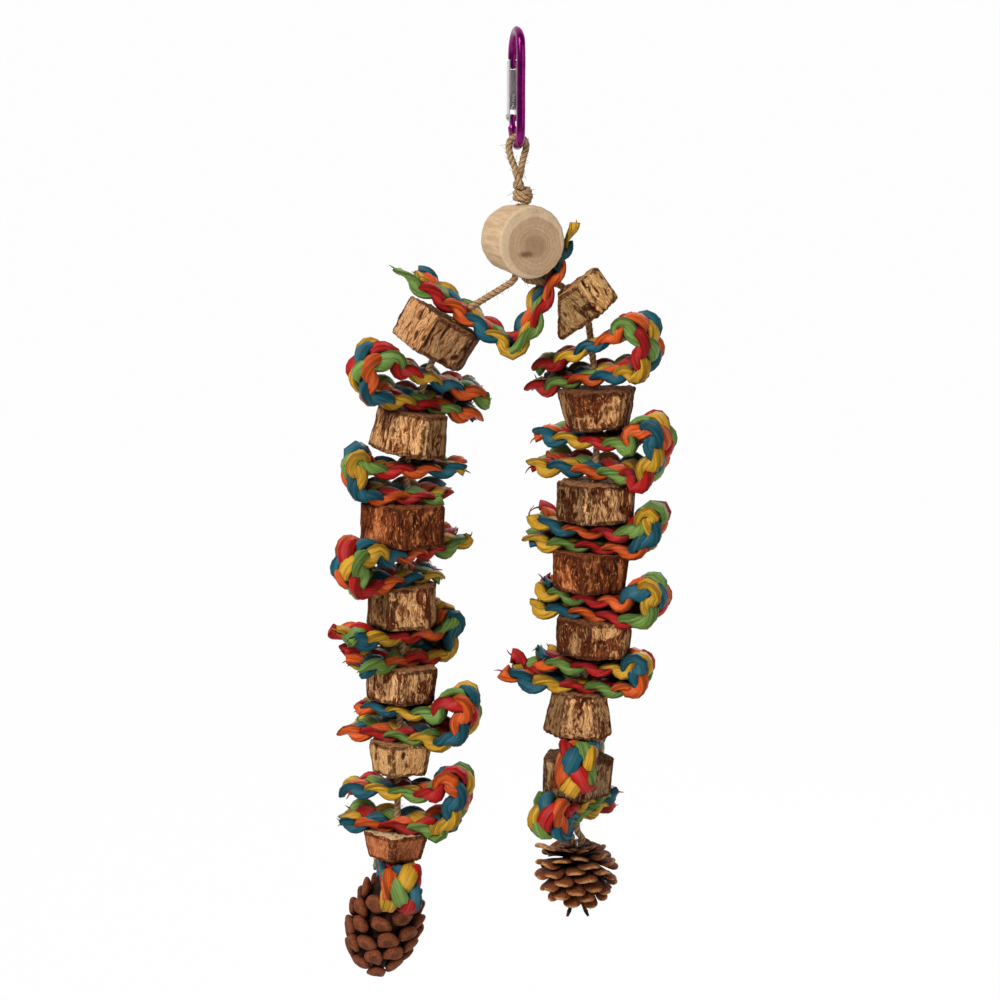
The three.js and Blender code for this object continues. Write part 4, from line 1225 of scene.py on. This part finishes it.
def carved(node, name, place, voxel, material):
    """A copy of a solid in its own frame, with a fine even skin that can be worked."""
    mesh = frame["nodes"][node].data.copy()
    mesh.transform(place.inverted())
    obj = new_object(name, mesh)
    fine = obj.modifiers.new("fine", "REMESH")
    fine.mode = "VOXEL"
    fine.voxel_size = voxel * MM
    fine.use_smooth_shade = True
    ready = obj.evaluated_get(bpy.context.evaluated_depsgraph_get())
    obj.data = bpy.data.meshes.new_from_object(ready)
    obj.modifiers.clear()
    obj.data.materials.clear()
    obj.data.materials.append(material)
    obj.matrix_world = place
    return obj


def read_vectors(items, name):
    values = np.empty(len(items) * 3, dtype=np.float32)
    items.foreach_get(name, values)
    return values.reshape(-1, 3)


def keep_values(mesh, name, values):
    layer = mesh.attributes.new(name, "FLOAT", "POINT")
    layer.data.foreach_set("value", values.astype(np.float32))


def sharpness(mesh, places, normals):
    """How far each point stands out from its neighbours, against the distance to them."""
    edges = np.empty(len(mesh.edges) * 2, dtype=np.int32)
    mesh.edges.foreach_get("vertices", edges)
    here = np.concatenate([edges[0::2], edges[1::2]])
    there = np.concatenate([edges[1::2], edges[0::2]])
    share = 1 / np.maximum(np.bincount(here, minlength=len(places)), 1)
    def around(values):
        return np.bincount(here, values[there], len(places)) * share
    middle = np.stack([around(places[:, k]) for k in range(3)], axis=1)
    reach = np.mean(np.linalg.norm(places[here] - places[there], axis=1))
    sharp = np.sum((places - middle) * normals, axis=1) / reach
    return around(around(sharp))


def work_skin(mesh, depth_at, offset):
    """Moves each point along its normal by what depth_at(point, normal) gives, in millimetres: how far
    out, and the depth of a pit. Keeps the point's own place, shifted by the offset, for the grain."""
    places = read_vectors(mesh.vertices, "co")
    normals = read_vectors(mesh.vertices, "normal")
    keep_values(mesh, "corner", sharpness(mesh, places, normals))
    depths = np.array([depth_at(Vector(p) / MM, Vector(n)) for p, n in zip(places, normals)])
    moved = places + normals * (depths[:, :1] - depths[:, 1:]) * MM
    mesh.vertices.foreach_set("co", moved.astype(np.float32).ravel())
    keep_values(mesh, "hollow", depths[:, 1])
    layer = mesh.attributes.new("local", "FLOAT_VECTOR", "POINT")
    layer.data.foreach_set("vector", (places + np.array(offset)).astype(np.float32).ravel())
    mesh.update()


def level_direction(degrees):
    """Away from the cord at an angle round it."""
    return np.array((math.cos(math.radians(degrees)), math.sin(math.radians(degrees)), 0))


def flatten(mesh, angle, distance):
    """Planes a flat on a block's side."""
    places = read_vectors(mesh.vertices, "co")
    away = level_direction(angle)
    over = np.maximum(0, places @ away - distance * MM)
    mesh.vertices.foreach_set("co", (places - np.outer(over, away)).astype(np.float32).ravel())
    mesh.update()


def paint_side_light(mesh, angle):
    """Keeps with each point how nearly it faces an angle round the cord, for painted light on that side and
    painted shade on the others.
    """
    keep_values(mesh, "painted_side_light", read_vectors(mesh.vertices, "normal") @ level_direction(angle))


def grain_noise(point, x, y, z):
    """Noise with its own scale along each axis."""
    return noise.noise(Vector((point.x * x, point.y * y, point.z * z)))


def fibrous(seed, pitted):
    """Wavy grooves along the grain on the sides of a block, rough ends, and pits on its sides."""
    def depth(point, normal):
        shifted = point + seed
        wave = 1.6 * noise.noise(shifted * 0.13)
        shifted = shifted + Vector((wave, -wave, 0))
        groove = grain_noise(shifted, 0.3, 0.3, 0.08)
        fine = grain_noise(shifted, 0.95, 0.95, 0.12)
        rough = noise.noise(shifted * 0.42)
        end = min(1, abs(normal.z) * 1.2)
        pit = grain_noise(shifted, 0.3, 0.3, 0.14)
        pit = max(0, pit - 0.6 + 0.3 * pitted) * (1 - end) * 5
        out = (1 - end) * (0.5 * groove + 0.35 * fine) + end * (0.7 * rough + 0.3 * fine) - 0.2
        return out, min(1.6, pit)
    return depth


def make_blocks():
    for leg in LEGS:
        for number, wood in enumerate(BLOCK_WOODS[leg], 1):
            node = f"{leg}_block_{number}"
            chance = random.Random(node)
            seed = Vector([chance.uniform(-400, 400) for _ in range(3)])
            obj = carved(node, node + "_wood", seat(node), BLOCK_VOXEL, BLOCK_MATERIALS[wood])
            for angle, distance in BLOCK_FLATS.get(node, ()):
                flatten(obj.data, angle, distance)
            # Painted light on one side of the block and painted shade on the others.
            paint_side_light(obj.data, BLOCK_PAINTED_LIGHT[leg][number - 1])
            work_skin(obj.data, fibrous(seed, wood in PITTED_WOODS), seed * MM)
            dress(obj, node)


def make_log():
    middle, _ = joint("log_turn")
    place = Matrix.Translation(middle) @ turn(LOG_YAW, "Z")
    obj = carved("log_slice", "log_wood", place, LOG_VOXEL, PEELED_WOOD)
    def depth(point, normal):
        broad = grain_noise(point, 0.13, 0.05, 0.13)
        fine = grain_noise(point, 0.8, 0.12, 0.8)
        return 0.35 * broad + 0.12 * fine - 0.1, 0
    work_skin(obj.data, depth, Vector(LOG_PITH) * MM)
    dress(obj, "log_slice")


# Cones and their screw eyes

def cone_radius(cone, t):
    return cone["radius"] * math.sin(math.pi * (0.24 + cone["taper"] * t)) ** 0.9


def scale_place(cone, t):
    """Root, direction, normal and length of a scale, t of the way down the cone."""
    top_lean, tip_lean = cone["lean"]
    lean = math.radians(top_lean + (tip_lean - top_lean) * t)
    long = cone["plate"] * (0.75 + 0.25 * math.sin(math.pi * t))
    out = np.array((math.sin(lean), 0, -math.cos(lean)))
    normal = np.array((math.cos(lean), 0, math.sin(lean)))
    tip = np.array((cone_radius(cone, t), 0, cone["high"] * (0.05 - cone["reach"] * t)))
    return tip - out * long, out, normal, long


def closed_end(q):
    """Shares of the width and the thickness along a closed scale, whose end is a thick knob."""
    swell = eased(np.clip((q - 0.35) / 0.4, 0, 1))
    close = math.sqrt(max(0.03, 1 - (max(0, q - 0.78) / 0.225) ** 3))
    return (0.45 + 0.55 * swell) * close, (0.14 + 0.86 * swell) * close


def open_end(q):
    """And along an open scale, which is a thin plate with a rounded, thicker edge."""
    width = 0.42 + 0.58 * math.sin(min(1, q / 0.75) * math.pi / 2)
    width *= math.sqrt(max(0.02, 1 - (max(0, q - 0.75) / 0.26) ** 2))
    thick = 0.45 + 0.55 * math.exp(-((q - 0.86) / 0.16) ** 2)
    return width, thick * math.sqrt(max(0.08, 1 - (max(0, q - 0.86) / 0.15) ** 2))


def tilted(out, normal, chance):
    """The directions along, across and out of a scale, tipped and rolled a little by chance."""
    tip_up = chance.uniform(-0.12, 0.12)
    out, normal = (out * math.cos(tip_up) + normal * math.sin(tip_up),
                   normal * math.cos(tip_up) - out * math.sin(tip_up))
    roll = chance.uniform(-0.16, 0.16)
    level = np.array((0, 1, 0))
    across = level * math.cos(roll) + normal * math.sin(roll)
    return out, across, normal * math.cos(roll) - level * math.sin(roll)


def uneven_round(blunt, chance):
    """Places round a scale's blunt outline, across it and out of it."""
    angles = np.linspace(0, 2 * math.pi, SCALE_POINTS, endpoint=False)
    uneven = 1 + 0.07 * np.cos(3 * angles + chance.uniform(0, 6.28))
    uneven += 0.05 * np.cos(5 * angles + chance.uniform(0, 6.28))
    return blunted(np.cos(angles), blunt) * uneven, blunted(np.sin(angles), blunt) * uneven


def scale_rings(cone, t, chance):
    """A woody scale from its narrow root to its broad end. No two are quite alike."""
    root, out, normal, long = scale_place(cone, t)
    wide = cone["width"] * (0.62 + 0.38 * math.sin(math.pi * (0.25 + 0.6 * t))) * chance.uniform(0.88, 1.1)
    thickness = cone["plump"] * chance.uniform(0.88, 1.12)
    out, across, normal = tilted(out, normal, chance)
    cos, sin = uneven_round(0.75 if cone["open"] else 0.85, chance)
    section = open_end if cone["open"] else closed_end
    rings = []
    for q in SCALE_STEPS:
        width, thick = section(q)
        bend = 1.2 * math.sin(math.pi * q) + 1.4 * max(0, q - 0.7) / 0.3
        at = root + out * (long * q) + normal * bend
        cup = 0.08 * wide * width * cos ** 2
        rings.append(at + np.outer(cos * wide * width / 2, across)
                     + np.outer(sin * thickness * thick / 2 - cup, normal))
    return np.array(rings)


def open_cone_ends(skin, cone, foot, chance):
    """What an open cone has besides its even scales: small ones at the top, a large one among them, and two
    thin ones at the tip."""
    for i in range(TOP_SCALES):
        size = 0.5 + 0.4 * i / TOP_SCALES
        small = size * scale_rings(cone, 0, chance) + np.array((0, 0, 5 * (1 - size)))
        skin.tube(small @ spin(-(i + 1) * GOLDEN_ANGLE).T, 0, SCALE_STEPS)
    large = LARGE_SCALE * scale_rings(cone, 0, chance)
    skin.tube(large @ spin(LARGE_YAW).T, 0, np.clip(SCALE_STEPS * LARGE_SCALE, 0, 1))
    for direction in TAILS:
        tail = np.array([foot + np.array(direction) * step for step in np.linspace(-3, 12, 7)])
        skin.tube(round_rings(tail, np.array((1, 1, 0.9, 0.8, 0.8, 1.1, 0.6)), 8), 0, np.full(7, 0.3))


def cone_core(skin, cone):
    """The spindle that the scales stand on. Gives the place of its foot."""
    roots = [scale_place(cone, t)[0] for t in np.linspace(0, 1, 12)]
    core = [(0, 0, roots[0][2] + 0.2)]
    core += [(0, 0, root[2]) for root in roots]
    core += [(0, 0, roots[-1][2] - 3)]
    radii = np.array([2.5] + [max(root[0] + cone["core"], 3) for root in roots] + [0.8])
    skin.tube(round_rings(np.array(core), radii, 20), 0, np.zeros(len(core)))
    return np.array(core[-1])


def make_cone(leg):
    cone = CONES[leg]
    chance = random.Random(leg + "_cone")
    skin = Skin()
    foot = cone_core(skin, cone)
    for i in range(cone["scales"]):
        t = (i + 0.5) / cone["scales"]
        around = spin(i * GOLDEN_ANGLE + chance.uniform(-4, 4))
        skin.tube(scale_rings(cone, t, chance) @ around.T, 0, SCALE_STEPS)
    if cone["open"]:
        open_cone_ends(skin, cone, foot, chance)
    hang, _ = joint(leg + "_cone_swing")
    wire = CORD / 2 + TOUCH + EYE_WIRE / 2
    place = Matrix.Translation(hang + Vector((0, 0, wire)) * MM) @ turn(cone["tilt"], "Y")
    eye_foot = -2 * EYE_RADIUS - EYE_WIRE / 2
    top = Matrix.Translation(Vector((0, 0, eye_foot - TOUCH + cone["sink"])) * MM)
    dress(skin.piece(leg + "_cone_scales", [CONE_MATERIALS[leg]], place @ top), leg + "_cone")
    make_eye(leg, place)


def make_eye(leg, place):
    """A wire bent into a ring on a shank."""
    angles = np.linspace(-math.pi / 2 + 0.25, 1.5 * math.pi, 40)
    ring = [(0, EYE_RADIUS * math.cos(a), EYE_RADIUS * (math.sin(a) - 1)) for a in angles]
    shank = [(0, 0, -2 * EYE_RADIUS - step) for step in np.linspace(0.8, EYE_SHANK + EYE_WIRE / 2, 12)]
    path = smooth_path(ring + shank, EYE_STEP)
    skin = Skin()
    skin.tube(round_rings(path, EYE_WIRE / 2 * rounded_ends(len(path), EYE_STEP, 0.5), 14))
    dress(skin.piece(leg + "_eye_wire", [STEEL], place), leg + "_screw_eye")


# Stage: camera, floor, world and lamps

def make_camera():
    data = bpy.data.cameras.new("camera")
    data.sensor_width = SENSOR
    data.lens = SENSOR * CAMERA_DISTANCE / FIELD
    data.clip_end = 2 * FLOOR_SIZE
    pitch = turn(90 - CAMERA_PITCH, "X")
    back = pitch.to_3x3() @ Vector((0, 0, 1))
    place = Matrix.Translation(TARGET + back * CAMERA_DISTANCE) @ pitch @ turn(CAMERA_ROLL, "Z")
    bpy.context.scene.camera = new_object("camera", data, place)


def background_rays(nodes):
    """1 for the rays that see the background: from the camera, through glass, or by reflection where they
    end behind the toy. The studio in front of it is darker."""
    rays = nodes.add("LightPath").outputs
    depth = nodes.part(nodes.add("NewGeometry").outputs["Position"], "Y")
    behind = nodes.add("MapRange", Value=depth, From_Min=MIRRORED_FROM, From_Max=MIRRORED_FULL)
    mirrored = nodes.math("MULTIPLY", rays["Is Glossy Ray"], behind.outputs["Result"])
    seen = nodes.math("MAXIMUM", rays["Is Camera Ray"], rays["Is Transmission Ray"])
    return nodes.math("MAXIMUM", seen, mirrored)


def floor_material():
    """A pale floor that is nearly white to the camera and keeps a soft shadow."""
    nodes = material_nodes("pale_floor")
    cloud = nodes.noise(nodes.object_place(), 2, 2)
    tone = nodes.mix(cloud, colour(250, 250, 250), colour(254, 254, 254))
    material = nodes.finish(Base_Color=tone, Roughness=0.9)
    lit = nodes.tree.nodes["Principled BSDF"].outputs[0]
    glow = nodes.add("Emission", Strength=1.0).outputs[0]
    share = nodes.math("MULTIPLY", background_rays(nodes), FLOOR_GLOW)
    blend = nodes.add("MixShader")
    for socket, value in zip(blend.inputs, (share, lit, glow)):
        nodes.feed(socket, value)
    nodes.feed(nodes.tree.nodes["Material Output"].inputs["Surface"], blend.outputs[0])
    return material


def make_floor():
    half = FLOOR_SIZE / 2
    low = cad_box[0][2] - FLOOR_DROP
    mesh = bpy.data.meshes.new("floor")
    mesh.from_pydata([(-half, -half, low), (half, -half, low), (half, half, low), (-half, half, low)],
                     [], [(0, 1, 2, 3)])
    mesh.materials.append(floor_material())
    obj = new_object("floor", mesh)


def make_world():
    """As pale as the floor to the camera and in reflections, and a softer light on the toy."""
    world = bpy.data.worlds.new("studio")
    bpy.context.scene.world = world
    nodes = Nodes(world)
    level = nodes.add("MapRange", Value=background_rays(nodes), To_Min=WORLD_LIGHT, To_Max=FLOOR_GLOW)
    inputs = {"Color": (1, 1, 1, 1), "Strength": level.outputs["Result"]}
    nodes.fill(nodes.tree.nodes["Background"], inputs)


def make_lamp(name, place, size, power):
    data = bpy.data.lights.new(name, "AREA")
    data.size = size
    data.energy = power
    obj = new_object(name, data)
    obj.location = place
    obj.rotation_euler = (TARGET - Vector(place)).to_track_quat("-Z", "Y").to_euler()


make_camera()
make_cords()
make_clip()
make_log()
make_blocks()
make_swag()
make_braids()
for leg_name in LEGS:
    make_cone(leg_name)
make_floor()
make_world()
for lamp_name, lamp in LAMPS.items():
    make_lamp(lamp_name, *lamp)
bpy.context.scene.view_settings.view_transform = "Standard"
